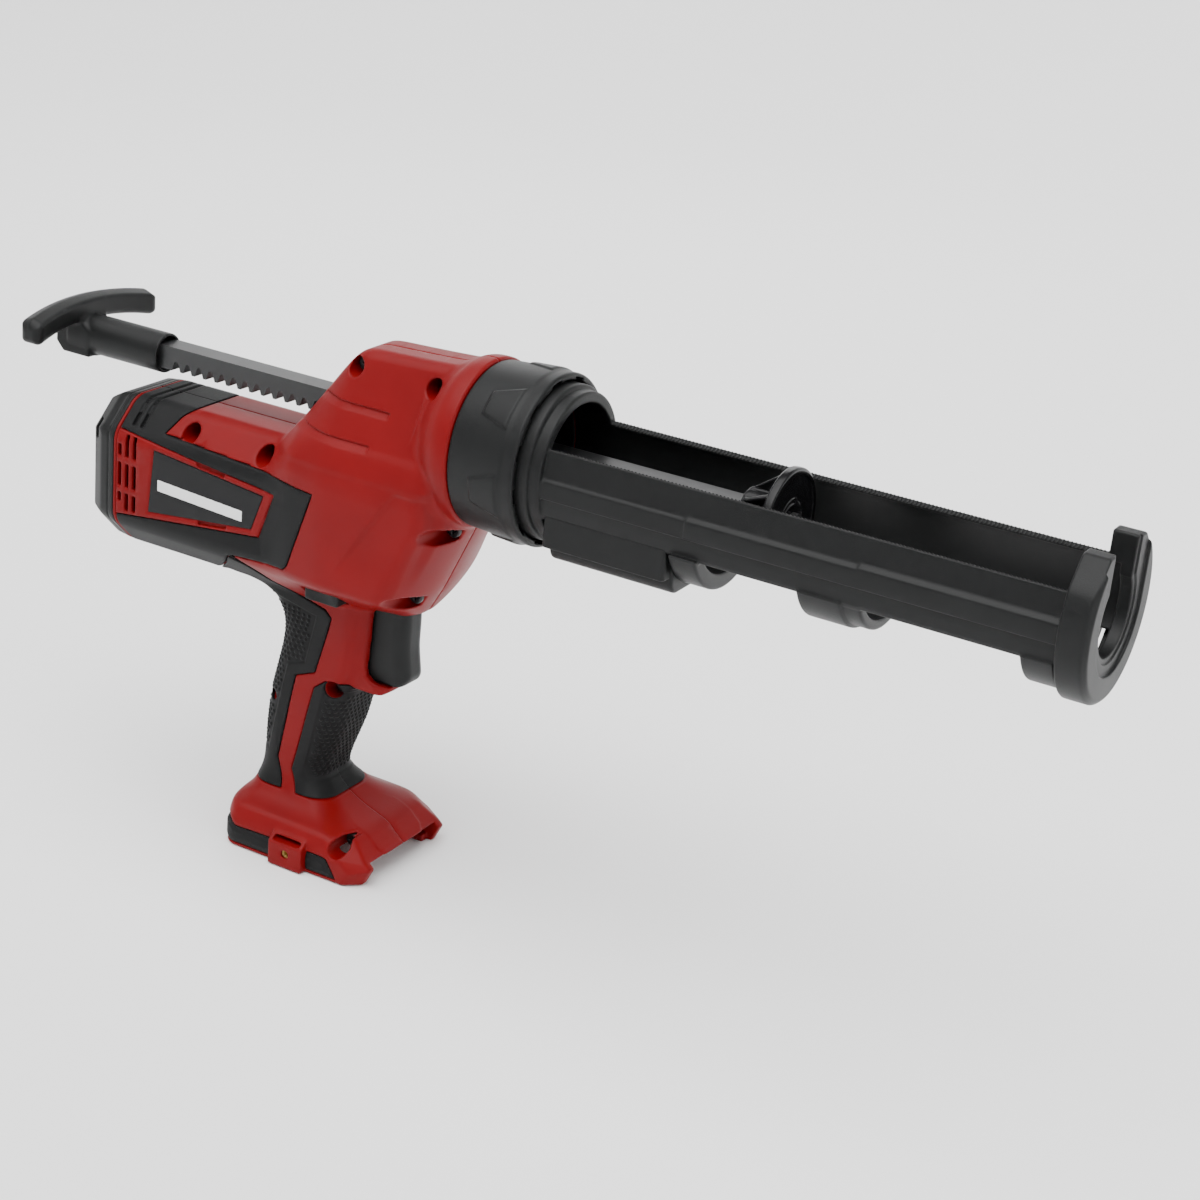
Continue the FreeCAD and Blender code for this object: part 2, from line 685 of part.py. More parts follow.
def foot_pad():
    """Right-hand soft insert along the foot."""
    side = slab_y([(FOOT_REAR, FOOT_PAD_LOW), (FOOT_PAD_FRONT + FOOT_CORNER, FOOT_PAD_LOW),
                   (FOOT_PAD_FRONT, FOOT_PAD_TOP), (FOOT_REAR, FOOT_PAD_TOP)],
                  -FOOT_HALF, -FOOT_TOP_HALF - PAD)
    hook = box(HOOK_X - HOOK_HALF, HOOK_X + HOOK_HALF, -FAR, 0, -FAR, FAR)
    return side.common(right_of(foot_form())).cut(hook)


def label_plate():
    """Right-hand plate let into the motor housing's side."""
    return slab_y(label_outline(), -BARREL_HALF_W, -BARREL_HALF_W + LABEL_T)


def vents():
    """Cooling slots through the right-hand side of the motor housing."""
    slots = []
    for x, spans in zip(VENT_XS, VENT_SPANS):
        for low, high in spans:
            slots.append(box(x - VENT_W / 2, x + VENT_W / 2, -FAR, -MOTOR_R, low, high))
    return slots


# Screws

def screw_places():
    """Place along X, height and seat depth of each housing screw."""
    places = [(x, HUMP_CREST_Z - HUMP_SCREW_DROP, HUMP_SCREW_SEAT) for x in HUMP_SCREWS_X]
    places += [(x, MOTOR_SCREW_Z, MOTOR_SCREW_SEAT) for x in MOTOR_SCREWS_X]
    places.append((CHIN_SCREW_X, CHIN_SCREW_Z, CHIN_SCREW_SEAT))
    places.append((JAW_SCREW_X, JAW_SCREW_Z, JAW_SCREW_SEAT))
    places.append((grip_x(1, GRIP_SCREW_UP_SHARE) - GRIP_SCREW_INSET,
                   GRIP_FOOT + GRIP_HEIGHT * GRIP_SCREW_UP_SHARE, GRIP_SCREW_SEAT))
    places.append((FOOT_SCREW_X, FOOT_SCREW_Z, FOOT_SCREW_SEAT))
    return places


def housing_screw(x, z, seat):
    """A screw driven from the right, its head sunk in the shell."""
    head = bar_y(SCREW_HEAD_R, -seat - SCREW_HEAD, -seat, x, z)
    socket = bar_y(SCREW_R, -seat - SCREW_HEAD - OVERRUN, -seat - SCREW_HEAD / 2, x, z)
    return head.cut(socket).fuse(bar_y(SCREW_R, -seat, SCREW_TIP, x, z))


def screw_cut(x, z, seat):
    """The hole and the sunk recess for one housing screw."""
    recess = bar_y(SCREW_RECESS_R, -FAR, -seat, x, z)
    return recess.fuse(bar_y(SCREW_R, -seat - OVERRUN, SCREW_TIP, x, z))


def screw_boss(x, z):
    """The post that a housing screw clamps, from wall to wall."""
    return bar_y(SCREW_BOSS_R, -FAR, FAR, x, z)


# Housing

def carriers():
    """Ribs, bulkheads and bearing bosses inside the shells."""
    solid = barrel_form(PAD + GAP, front=CASE_FLAT)
    shapes = []
    for share in MOTOR_RIB_SHARES:
        x = MOTOR_REAR + (GEARBOX_REAR - MOTOR_REAR) * share
        shapes.append(solid.common(box(x, x + RIB_W, -FAR, FAR, 0, FAR)))
    for share in GEARBOX_RIB_SHARES:
        x = GEARBOX_REAR + (GEARBOX_FRONT - GEARBOX_REAR) * share - RIB_W / 2
        shapes.append(solid.common(box(x, x + RIB_W, -FAR, FAR, 0, FAR)))
    case = case_form(PAD)
    for x in (REAR_BUSH, FRONT_BUSH):
        shapes.append(case.common(box(x, x + BUSH_L, -FAR, FAR, BUSH_SEAT_Z, FAR)))
    for z in (PINION_Z, MOTOR_Z):
        post = bar_y(BEARING_R + BEARING_WALL, SHAFT_HALF - BEARING_W - GAP, FAR, GEAR_X, z)
        shapes += [post.common(case) for post in both_sides(post)]
    grip = grip_form(PAD + GAP)
    shapes.append(grip.common(box(-FAR, FAR, -FAR, FAR, SWITCH_LOW - RIB_W, SWITCH_LOW)))
    return shapes


def room_for_works():
    """What is cut from the housing so that the works sit in it."""
    cuts = [bar_x(MOTOR_R, MOTOR_REAR, GEARBOX_REAR, z=MOTOR_Z),
            bar_x(GEARBOX_R, GEARBOX_REAR, GEARBOX_FRONT, z=MOTOR_Z)]
    for x in (REAR_BUSH, FRONT_BUSH):
        cuts.append(box(x, x + BUSH_L, -BUSH_HALF, BUSH_HALF, AXIS_Z - BUSH_HALF, AXIS_Z + BUSH_HALF))
    rod_half = ROD_W / 2 + GAP
    cuts.append(box(CASE_REAR - FAR, FAR, -rod_half, rod_half, AXIS_Z - rod_half, AXIS_Z + rod_half))
    cuts.append(bar_x(POCKET_R, CASE_REAR - FAR, REAR_BUSH))
    for z in (PINION_Z, MOTOR_Z):
        cuts.append(bar_y(BEARING_R, SHAFT_HALF - BEARING_W, SHAFT_HALF, GEAR_X, z))
        cuts.append(bar_y(BEARING_R, -SHAFT_HALF, -SHAFT_HALF + BEARING_W, GEAR_X, z))
        cuts.append(bar_y(SHAFT_R + GAP, -SHAFT_HALF, SHAFT_HALF, GEAR_X, z))
    wheel_tip = SPUR_WHEEL_R + SPUR_MODULE
    cuts.append(bar_y(wheel_tip + GAP, SPUR_Y - GAP, SPUR_Y + SPUR_W + GAP, GEAR_X, PINION_Z))
    pocket_rear = TRIGGER_REAR - TRIGGER_TRAVEL - 2 * GAP
    slot_half = TRIGGER_HALF + 2 * GAP
    ear_half = slot_half + TRIGGER_EAR
    cuts.append(box(pocket_rear, FAR, -slot_half, slot_half,
                    TRIGGER_LOW - 2 * GAP, TRIGGER_HIGH + 2 * GAP))
    cuts.append(box(pocket_rear, TRIGGER_REAR + TRIGGER_EAR_L + GAP, -ear_half, ear_half,
                    TRIGGER_LOW - 2 * GAP, TRIGGER_HIGH + 2 * GAP))
    cuts.append(box(SWITCH_REAR, SWITCH_FRONT, -SWITCH_HALF, SWITCH_HALF, SWITCH_LOW, SWITCH_HIGH))
    cuts.append(box(SWITCH_FRONT, FAR, -SPRING_R - GAP, SPRING_R + GAP,
                    switch_middle() - SPRING_R - GAP, switch_middle() + SPRING_R + GAP))
    cuts.append(box(LOCK_REAR - GAP, LOCK_FRONT + GAP, -FAR, FAR, LOCK_LOW - GAP, LOCK_HIGH + GAP))
    cuts.append(box(SOCKET_REAR, FAR, -SOCKET_HALF, SOCKET_HALF, RAIL_LIP_Z, SOCKET_TOP))
    throat = SOCKET_HALF - RAIL_LIP_IN
    cuts.append(box(SOCKET_REAR, FAR, -throat, throat, -OVERRUN, SOCKET_TOP))
    cuts.append(box(SOCKET_REAR, TERMINAL_FRONT, -TERMINAL_HALF, TERMINAL_HALF, 0, BLOCK_TOP))
    cuts.append(board_shape())
    return cuts


def switch_middle():
    """Height of the switch's plunger."""
    return (SWITCH_LOW + SWITCH_HIGH) / 2


def hook_cuts():
    """Belt-hook screw holes and strap slots on both sides of the foot."""
    hole = bar_y(INSERT_R, -HOOK_OUT - OVERRUN, -HOOK_OUT + INSERT_L, HOOK_X, HOOK_HOLE_Z)
    slot = box(HOOK_X - HOOK_HALF + HOOK_SLOT_H, HOOK_X + HOOK_HALF - HOOK_SLOT_H,
               -HOOK_OUT - OVERRUN, -FOOT_HALF + HOOK_SLOT_DEEP, HOOK_SLOT_Z - HOOK_SLOT_H, HOOK_SLOT_Z)
    return both_sides(hole) + both_sides(slot)


def housing():
    """Both shells as one, before they are parted on the middle plane."""
    jaw = slab_y(list(JAW_OUTLINE), -JAW_HALF, JAW_HALF)
    outer = joined([barrel_form(0), case_form(0), grip_form(0), jaw, foot_form()])
    hollow = joined([barrel_form(WALL, rear=BARREL_REAR - OVERRUN), case_form(WALL), grip_form(WALL)])
    hollow = hollow.cut(box(-FAR, FAR, -FAR, FAR, -FAR, GRIP_FOOT - FOOT_TOP_Z + BLOCK_TOP))
    screws = screw_places()
    bosses = [screw_boss(x, z).common(outer) for x, z, seat in screws]
    shell = joined([outer.cut(hollow), nose_form()] + carriers() + bosses)
    skins = []
    for piece in (motor_band(), front_pad(), rear_pad(), foot_pad(), label_plate()):
        skins += both_sides(piece)
    slots = []
    for slot in vents():
        slots += both_sides(slot)
    cuts = room_for_works() + [screw_cut(*place) for place in screws] + hook_cuts() + skins + slots
    return shell.cut(cuts)


def end_cap():
    """The rear cover of the motor housing, with a hollow back for the motor's boss."""
    sections = []
    pairs = list(zip(END_CAP_TAPER_SHARES[0::2], END_CAP_TAPER_SHARES[1::2]))
    for along, drawn in pairs:
        x = BARREL_REAR - END_CAP_L * along
        half_w = BARREL_HALF_W * (1 - drawn)
        half_h = BARREL_HALF_H * (1 - drawn)
        flat_y = half_w * (1 - BARREL_CHAMFER / BARREL_HALF_W)
        flat_z = half_h * (1 - BARREL_CHAMFER / BARREL_HALF_H)
        outline = [(-half_w, -flat_z), (-flat_y, -half_h), (flat_y, -half_h), (half_w, -flat_z),
                   (half_w, flat_z), (flat_y, half_h), (-flat_y, half_h), (-half_w, flat_z)]
        sections.append(closed_wire([V(x, y, BARREL_Z + z) for y, z in outline]))
    boss_room = bar_x(MOTOR_BOSS_R, MOTOR_REAR - MOTOR_BOSS_L, BARREL_REAR + OVERRUN, z=MOTOR_Z)
    hollow = bar_x(MOTOR_R, BARREL_REAR - END_CAP_L + WALL, BARREL_REAR + OVERRUN, z=MOTOR_Z)
    rest = bar_x(MOTOR_BOSS_R + WALL, BARREL_REAR - END_CAP_L, BARREL_REAR, z=MOTOR_Z)
    return lofted(sections).cut(hollow).fuse(rest).cut(boss_room).removeSplitter()


# Works

def motor():
    """The sealed motor."""
    can = bar_x(MOTOR_R, MOTOR_REAR, GEARBOX_REAR, z=MOTOR_Z)
    return can.fuse(bar_x(MOTOR_BOSS_R, BARREL_REAR, MOTOR_REAR, z=MOTOR_Z))


def gearbox():
    """The sealed planetary gearbox, bored for its output shaft."""
    can = bar_x(GEARBOX_R, GEARBOX_REAR, GEARBOX_FRONT, z=MOTOR_Z)
    nose = bar_x(GEARBOX_NOSE_R, GEARBOX_FRONT, GEARBOX_FRONT + GEARBOX_NOSE_L, z=MOTOR_Z)
    bore = bar_x(OUTPUT_R + FIT, GEARBOX_FRONT - GEARBOX_NOSE_L, FAR, z=MOTOR_Z)
    return can.fuse(nose).cut(bore)


def output_shaft():
    """The gearbox's output shaft."""
    return bar_x(OUTPUT_R, GEARBOX_FRONT - GEARBOX_NOSE_L, GEAR_X - BEVEL_R + GAP, z=MOTOR_Z)


def cross_shaft(z):
    """One of the two shafts across the gear case."""
    return bar_y(SHAFT_R, -SHAFT_HALF + GAP, SHAFT_HALF - GAP, GEAR_X, z)


def bearings(z):
    """The two bearings of a cross shaft."""
    ring = bar_y(BEARING_R, -SHAFT_HALF, -SHAFT_HALF + BEARING_W, GEAR_X, z)
    ring = ring.cut(bar_y(SHAFT_R + FIT, -FAR, FAR, GEAR_X, z))
    return Part.makeCompound(both_sides(ring))


def rod_bush(x):
    """A square guide that the rack rod slides through."""
    block = box(x, x + BUSH_L, -BUSH_HALF, BUSH_HALF, AXIS_Z - BUSH_HALF, AXIS_Z + BUSH_HALF)
    half_w = ROD_W / 2 + BUSH_CLEAR
    half_h = ROD_H / 2 + BUSH_CLEAR
    return block.cut(box(x - OVERRUN, x + BUSH_L + OVERRUN, -half_w, half_w,
                         AXIS_Z - half_h, AXIS_Z + half_h))


def rack_rod():
    """The square push rod with a rack cut in its underside."""
    lean = math.tan(PRESSURE_ANGLE)
    tip_half = (RACK_PITCH / 2 + BACKLASH) / 2 + RACK_ADDENDUM * lean
    floor_half = (RACK_PITCH / 2 + BACKLASH) / 2 - RACK_DEDENDUM * lean
    floor_z = PITCH_Z + RACK_DEDENDUM
    outline = [(ROD_REAR, ROD_TOP), (ROD_REAR, ROD_BOTTOM)]
    for number in range(-RACK_REAR_TEETH, RACK_FRONT_TEETH + 1):
        middle = GEAR_X + RACK_PITCH * number
        outline += [(middle - tip_half, ROD_BOTTOM), (middle - floor_half, floor_z),
                    (middle + floor_half, floor_z), (middle + tip_half, ROD_BOTTOM)]
    outline += [(ROD_FRONT, ROD_BOTTOM), (ROD_FRONT, ROD_TOP)]
    rod = slab_y(outline, -ROD_W / 2, ROD_W / 2)
    rear_hole = bar_x(ROD_SCREW_R, ROD_REAR, ROD_REAR + HANDLE_SCREW_L)
    front_hole = bar_x(ROD_SCREW_R, ROD_FRONT - PLUNGER_SCREW_L, ROD_FRONT)
    return rod.cut([rear_hole, front_hole])


def pull_handle():
    """Sleeve, bevelled block and cross bar, moulded in one."""
    sleeve = bar_x(SLEEVE_R, BLOCK_FRONT, SLEEVE_FRONT)
    low = AXIS_Z - SLEEVE_R
    high = AXIS_Z + BAR_RISE
    block_outline = [(BLOCK_REAR + BLOCK_CHAMFER, low), (BLOCK_FRONT, low),
                     (BLOCK_FRONT, AXIS_Z + SLEEVE_R), (BLOCK_FRONT - BLOCK_CHAMFER, high),
                     (BLOCK_REAR, high), (BLOCK_REAR, low + BLOCK_CHAMFER)]
    block = slab_y(block_outline, -BLOCK_HALF, BLOCK_HALF)
    sections = []
    for station, fullness in zip(BAR_STATION_SHARES, BAR_FULLNESS_SHARES):
        y = BAR_HALF * station
        middle = AXIS_Z + BAR_RISE - BAR_DROOP * station * station
        deep = BAR_DEEP / 2 * fullness
        tall = BAR_TALL / 2 * fullness
        cut_x = deep / 2
        cut_z = tall / 2
        outline = [(-deep, -tall + cut_z), (-deep + cut_x, -tall), (deep - cut_x, -tall),
                   (deep, -tall + cut_z), (deep, tall - cut_z), (deep - cut_x, tall),
                   (-deep + cut_x, tall), (-deep, tall - cut_z)]
        sections.append(closed_wire([V(BAR_X + x, y, middle + z) for x, z in outline]))
    hole = box(ROD_REAR, SLEEVE_FRONT + OVERRUN, -ROD_W / 2, ROD_W / 2, ROD_BOTTOM, ROD_TOP)
    screw_hole = bar_x(ROD_SCREW_R, BLOCK_REAR - OVERRUN, ROD_REAR)
    sunk = bar_x(HANDLE_SCREW_HEAD_R, BLOCK_REAR - OVERRUN, BLOCK_REAR + HANDLE_SCREW_HEAD)
    return joined([sleeve, block, lofted(sections)]).cut([hole, screw_hole, sunk])


def handle_screw():
    """The screw that holds the handle on the rod."""
    head = bar_x(HANDLE_SCREW_HEAD_R, BLOCK_REAR + GAP, BLOCK_REAR + HANDLE_SCREW_HEAD)
    return head.fuse(bar_x(ROD_SCREW_R, BLOCK_REAR + HANDLE_SCREW_HEAD, ROD_REAR + HANDLE_SCREW_L))


def plunger():
    """The pusher disc with ribs behind it."""
    disc_rear = PLUNGER_FRONT - PLUNGER_DISC
    shapes = [bar_x(PLUNGER_R, disc_rear, PLUNGER_FRONT),
              bar_x(PLUNGER_HUB_R, PLUNGER_HUB_REAR, disc_rear)]
    rib = slab_y([(PLUNGER_HUB_REAR, AXIS_Z), (disc_rear, AXIS_Z),
                  (disc_rear, AXIS_Z + PLUNGER_R - PLUNGER_RIB_W),
                  (PLUNGER_HUB_REAR, AXIS_Z + PLUNGER_HUB_R)], -PLUNGER_RIB_W / 2, PLUNGER_RIB_W / 2)
    for number in range(PLUNGER_RIBS):
        turned = rib.copy()
        turned.rotate(V(0, 0, AXIS_Z), X_DIR, number * 360 / PLUNGER_RIBS)
        shapes.append(turned)
    body = joined(shapes)
    socket = box(PLUNGER_HUB_REAR - OVERRUN, ROD_FRONT, -ROD_W / 2, ROD_W / 2, ROD_BOTTOM, ROD_TOP)
    hole = bar_x(ROD_SCREW_R, ROD_FRONT, FAR)
    return body.cut([socket, hole])


def plunger_screw():
    """The screw in the middle of the plunger's face."""
    head = bar_x(PLUNGER_SCREW_HEAD_R, PLUNGER_FRONT, PLUNGER_FRONT + PLUNGER_SCREW_HEAD)
    slot = box(PLUNGER_FRONT + PLUNGER_SCREW_HEAD / 2, FAR, -ROD_SCREW_R / 2, ROD_SCREW_R / 2,
               AXIS_Z - ROD_SCREW_R, AXIS_Z + ROD_SCREW_R)
    shank = bar_x(ROD_SCREW_R, ROD_FRONT - PLUNGER_SCREW_L, PLUNGER_FRONT)
    return head.cut(slot).fuse(shank)


def collar():
    """The coupling ring between the gear case and the cradle."""
    rear = CASE_FRONT + GAP
    body = Part.makeCone(COLLAR_REAR_R, COLLAR_FRONT_R, COLLAR_FRONT - rear, V(rear, 0, AXIS_Z), X_DIR)
    rib = box(rear + COLLAR_LIP, COLLAR_FRONT - COLLAR_LIP, -COLLAR_LIP, COLLAR_LIP,
              AXIS_Z + COLLAR_REAR_R - COLLAR_LIP, AXIS_Z + COLLAR_FRONT_R + COLLAR_RIB_H)
    ribs = []
    for number in range(COLLAR_RIBS):
        turned = rib.copy()
        turned.rotate(V(0, 0, AXIS_Z), X_DIR, (number + 0.5) * 360 / COLLAR_RIBS)
        ribs.append(turned.common(bar_x(COLLAR_FRONT_R + COLLAR_RIB_H, rear, COLLAR_FRONT)))
    flange_rear = NOSE_FRONT
    cuts = [bar_x(NOSE_R + GAP, rear - OVERRUN, flange_rear),
            bar_x(SNAP_R + GAP, SNAP_X - GAP, SNAP_X + SNAP_W + GAP),
            bar_x(FLANGE_R + GAP, flange_rear, COLLAR_FRONT - COLLAR_LIP),
            bar_x(NECK_R + GAP, flange_rear, COLLAR_FRONT + OVERRUN)]
    return joined([body] + ribs).cut(cuts)


# Cradle

def rail(grow):
    """The right-hand rail's section with its outer facets moved out."""
    return [(-RAIL_INNER_Y, RAIL_TOP), (-RAIL_TOP_Y - grow, RAIL_TOP),
            (-RAIL_RIDGE_Y - grow, RAIL_RIDGE_Z), (-RAIL_KEEL_Y - grow, RAIL_KEEL_Z),
            (-RAIL_FOOT_Y, RAIL_BOTTOM), (-RAIL_INNER_Y, RAIL_BOTTOM)]


def on_axis(outline):
    """A Y-Z outline measured from the cartridge axis."""
    return [(y, AXIS_Z + z) for y, z in outline]


def hoop(outer, x_low, x_high):
    """An arc under the cradle, from rail to rail."""
    below = box(x_low, x_high, -FAR, FAR, 0, AXIS_Z + RAIL_BOTTOM + CAP_STEP)
    return bar_x(outer, x_low, x_high).common(below)


def cradle():
    """Arch, two side rails and the arcs under them, moulded in one."""
    flange_rear = NOSE_FRONT + GAP
    flange_front = COLLAR_FRONT - COLLAR_LIP - GAP
    rail_front = CAP_FRONT - CAP_PLATE
    flange = bar_x(FLANGE_R, flange_rear, flange_front)
    shapes = [flange, bar_x(NECK_R, flange_rear, ARCH_FRONT)]
    for outline, rear, front in ((rail(0), flange_rear, rail_front),
                                 (rail(RAIL_PANEL_H), PANEL_REAR, PANEL_FRONT)):
        shapes += both_sides(slab_x(on_axis(outline), rear, front))
    shapes.append(hoop(HOOP_R + CAP_STEP, PAD_FRONT, PAD_FRONT + HOOP_1_L))
    shapes.append(hoop(HOOP_R, HOOP_2_REAR, HOOP_2_REAR + HOOP_2_L))
    shapes.append(hoop(HOOP_R, HOOP_3_REAR, HOOP_3_REAR + HOOP_3_L))
    bore = bar_x(CARTRIDGE_R, flange_rear - OVERRUN, FAR)
    skirt = bar_x(CAP_SKIRT_R, CAP_FRONT - CAP_PLATE - CAP_BAND, FAR)
    ring_room = tube_x(FAR, CAP_SKIRT_R, CAP_FRONT - CAP_PLATE - CAP_BAND, FAR)
    body = joined(shapes).cut([bore, ring_room])
    return body.common(skirt.fuse(box(-FAR, CAP_FRONT - CAP_PLATE - CAP_BAND, -FAR, FAR, 0, FAR)))


def cradle_pad():
    """The block under the cradle beside the collar."""
    outline = [(PAD_Y, RAIL_BOTTOM), (PAD_Y, PAD_SIDE_Z), (PAD_FLOOR_Y, PAD_FLOOR_Z)]
    outline += [(-y, z) for y, z in reversed(outline)]
    block = slab_x(on_axis(outline), ARCH_FRONT, PAD_FRONT)
    return block.cut(bar_x(CARTRIDGE_R, PAD_REAR, PAD_FRONT + OVERRUN))


def front_cap():
    """The open end plate that the cartridge pushes against."""
    rear = CAP_FRONT - CAP_PLATE
    plate = bar_x(CAP_R, rear, CAP_FRONT)
    skirt = tube_x(CAP_R, CAP_SKIRT_R, rear - CAP_BAND, rear)
    above = box(-FAR, FAR, -FAR, FAR, AXIS_Z + CAP_TOP, FAR)
    mouth = box(rear - FAR, FAR, -CAP_SLOT_HALF, CAP_SLOT_HALF, AXIS_Z, FAR)
    opening = bar_x(CAP_OPENING_R, rear - OVERRUN, FAR)
    step = bar_x(CAP_STEP_R, CAP_FRONT - CAP_STEP, FAR)
    window = box(rear - CAP_WINDOW_W + CAP_STEP, rear, -CAP_WINDOW_Y, CAP_WINDOW_Y, 0, AXIS_Z)
    return plate.fuse(skirt).removeSplitter().cut([above, mouth, opening, step, window])


# Trigger, lock button, foot fittings

def trigger():
    """The paddle trigger with its retaining ears."""
    toe = (TRIGGER_FRONT - TRIGGER_REAR) * TRIGGER_TOE_SHARE
    outline = [(TRIGGER_REAR, TRIGGER_LOW + toe), (TRIGGER_REAR + toe, TRIGGER_LOW),
               (TRIGGER_FRONT - toe, TRIGGER_LOW), (TRIGGER_FRONT, TRIGGER_LOW + toe),
               (TRIGGER_FRONT - toe / 2, TRIGGER_HIGH), (TRIGGER_REAR, TRIGGER_HIGH)]
    body = slab_y(outline, -TRIGGER_HALF, TRIGGER_HALF)
    rounded = []
    for edge in body.Edges:
        box_of = edge.BoundBox
        if box_of.YLength < GAP and box_of.XMin >= TRIGGER_FRONT - toe - GAP:
            rounded.append(edge)
    body = body.makeFillet(TRIGGER_ROUND, rounded)
    ear_half = TRIGGER_HALF + TRIGGER_EAR
    ears = box(TRIGGER_REAR, TRIGGER_REAR + TRIGGER_EAR_L, -ear_half, ear_half,
               TRIGGER_LOW + toe, TRIGGER_HIGH)
    return body.fuse(ears).removeSplitter()


def trigger_spring():
    """The return spring round the switch's plunger, as a sleeve."""
    outer = bar_x(SPRING_R, SWITCH_FRONT, TRIGGER_REAR, z=switch_middle())
    return outer.cut(bar_x(SPRING_R - SPRING_WIRE, SWITCH_FRONT, TRIGGER_REAR, z=switch_middle()))


def switch():
    """The trigger switch with its plunger."""
    body = box(SWITCH_REAR, SWITCH_FRONT, -SWITCH_HALF, SWITCH_HALF, SWITCH_LOW, SWITCH_HIGH)
    reach = TRIGGER_REAR - TRIGGER_TRAVEL - GAP
    return body.fuse(bar_x(PLUNGE_R, SWITCH_FRONT, reach, z=switch_middle()))


def lock_button():
    """The push-through lock bar above the trigger."""
    bar = box(LOCK_REAR, LOCK_FRONT, -LOCK_HALF, LOCK_HALF, LOCK_LOW, LOCK_HIGH)
    upright = [edge for edge in bar.Edges if edge.BoundBox.ZLength > GAP]
    return bar.makeChamfer(LOCK_TRAVEL / 2, upright)


def terminal_block():
    """The insulating block over the battery socket."""
    return box(SOCKET_REAR, TERMINAL_FRONT, -TERMINAL_HALF, TERMINAL_HALF, SOCKET_TOP, BLOCK_TOP)


def terminals():
    """Contact blades that hang from the block into the socket."""
    blades = []
    for share in BLADE_PLACE_SHARES:
        y = TERMINAL_HALF * share
        blades.append(box(TERMINAL_FRONT - BLADE_L, TERMINAL_FRONT, y - BLADE_W / 2, y + BLADE_W / 2,
                          SOCKET_TOP - BLADE_H, SOCKET_TOP))
    return Part.makeCompound(blades)


def board_shape():
    """The control board on top of the terminal block."""
    return box(SOCKET_REAR + BOARD_INSET, TERMINAL_FRONT - BOARD_INSET, -BOARD_HALF, BOARD_HALF,
               BLOCK_TOP, BLOCK_TOP + BOARD_T)


def hook_inserts():
    """Threaded inserts for the belt hook, one each side."""
    insert = bar_y(INSERT_R, -HOOK_OUT, -HOOK_OUT + INSERT_L, HOOK_X, HOOK_HOLE_Z)
    bored = insert.cut(bar_y(HOOK_HOLE_R, -FAR, 0, HOOK_X, HOOK_HOLE_Z))
    return Part.makeCompound(both_sides(bored))


def main():
    """Every piece under its name."""
    shell = housing()
    right_shell = right_of(shell)
    left_shell = shell.cut(box(-FAR, FAR, -FAR, 0, -FAR, FAR))
    pair_y = SPUR_Y + SPUR_W
    half_tooth = math.pi / SPUR_PINION_TEETH
    pieces = {
        "right_shell": right_shell,
        "left_shell": left_shell,
        "rear_end_cap": end_cap(),
        "housing_screws": Part.makeCompound([housing_screw(*place) for place in screw_places()]),
        "motor": motor(),
        "gearbox": gearbox(),
        "output_shaft": output_shaft(),
        "bevel_pinion": bevel_gear(-X_DIR, Y_DIR, math.pi / BEVEL_TEETH, OUTPUT_R),
        "cross_shaft": cross_shaft(MOTOR_Z),
        "bevel_wheel": bevel_gear(Y_DIR, -X_DIR, 0, SHAFT_R),
        "spur_pinion": spur_gear(SPUR_MODULE, SPUR_PINION_TEETH, SPUR_MODULE, SPUR_Y, pair_y,
                                 MOTOR_Z, math.pi / 2 + half_tooth),
        "cross_shaft_bearings": bearings(MOTOR_Z),
        "pinion_shaft": cross_shaft(PINION_Z),
        "spur_wheel": spur_gear(SPUR_MODULE, SPUR_WHEEL_TEETH, SPUR_MODULE, SPUR_Y, pair_y,
                                PINION_Z, -math.pi / 2),
        "rack_pinion": spur_gear(RACK_MODULE, RACK_PINION_TEETH, RACK_ADDENDUM,
                                 -RACK_PINION_W / 2, RACK_PINION_W / 2, PINION_Z, math.pi / 2),
        "pinion_shaft_bearings": bearings(PINION_Z),
        "rear_rod_bush": rod_bush(REAR_BUSH),
        "front_rod_bush": rod_bush(FRONT_BUSH),
        "rack_rod": rack_rod(),
        "pull_handle": pull_handle(),
        "handle_screw": handle_screw(),
        "plunger": plunger(),
        "plunger_screw": plunger_screw(),
        "collar": collar(),
        "cradle": cradle(),
        "cradle_pad": cradle_pad(),
        "front_cap": front_cap(),
        "trigger": trigger(),
        "trigger_spring": trigger_spring(),
        "trigger_switch": switch(),
        "lock_button": lock_button(),
        "terminal_block": terminal_block(),
        "battery_terminals": terminals(),
        "control_board": board_shape(),
        "belt_hook_inserts": hook_inserts(),
    }
    skins = {"motor_band": motor_band(), "grip_front_pad": front_pad(), "grip_rear_pad": rear_pad(),
             "foot_pad": foot_pad(), "label_plate": label_plate()}
    for name, right in skins.items():
        for side, shape in zip(("right", "left"), both_sides(right)):
            pieces[side + "_" + name] = shape
    os.makedirs("parts", exist_ok=True)
    for name, shape in pieces.items():
        shape.exportStep("parts/" + name + ".step")
        size = shape.BoundBox
        print(name, "solids", len(shape.Solids), "valid", shape.isValid(), "volume", round(shape.Volume),
              [round(size.XMin, 1), round(size.XMax, 1), round(size.YMin, 1), round(size.YMax, 1),
               round(size.ZMin, 1), round(size.ZMax, 1)])


main()
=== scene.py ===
import functools
import json
import math

import bpy
import numpy as np
from mathutils import Matrix, Vector


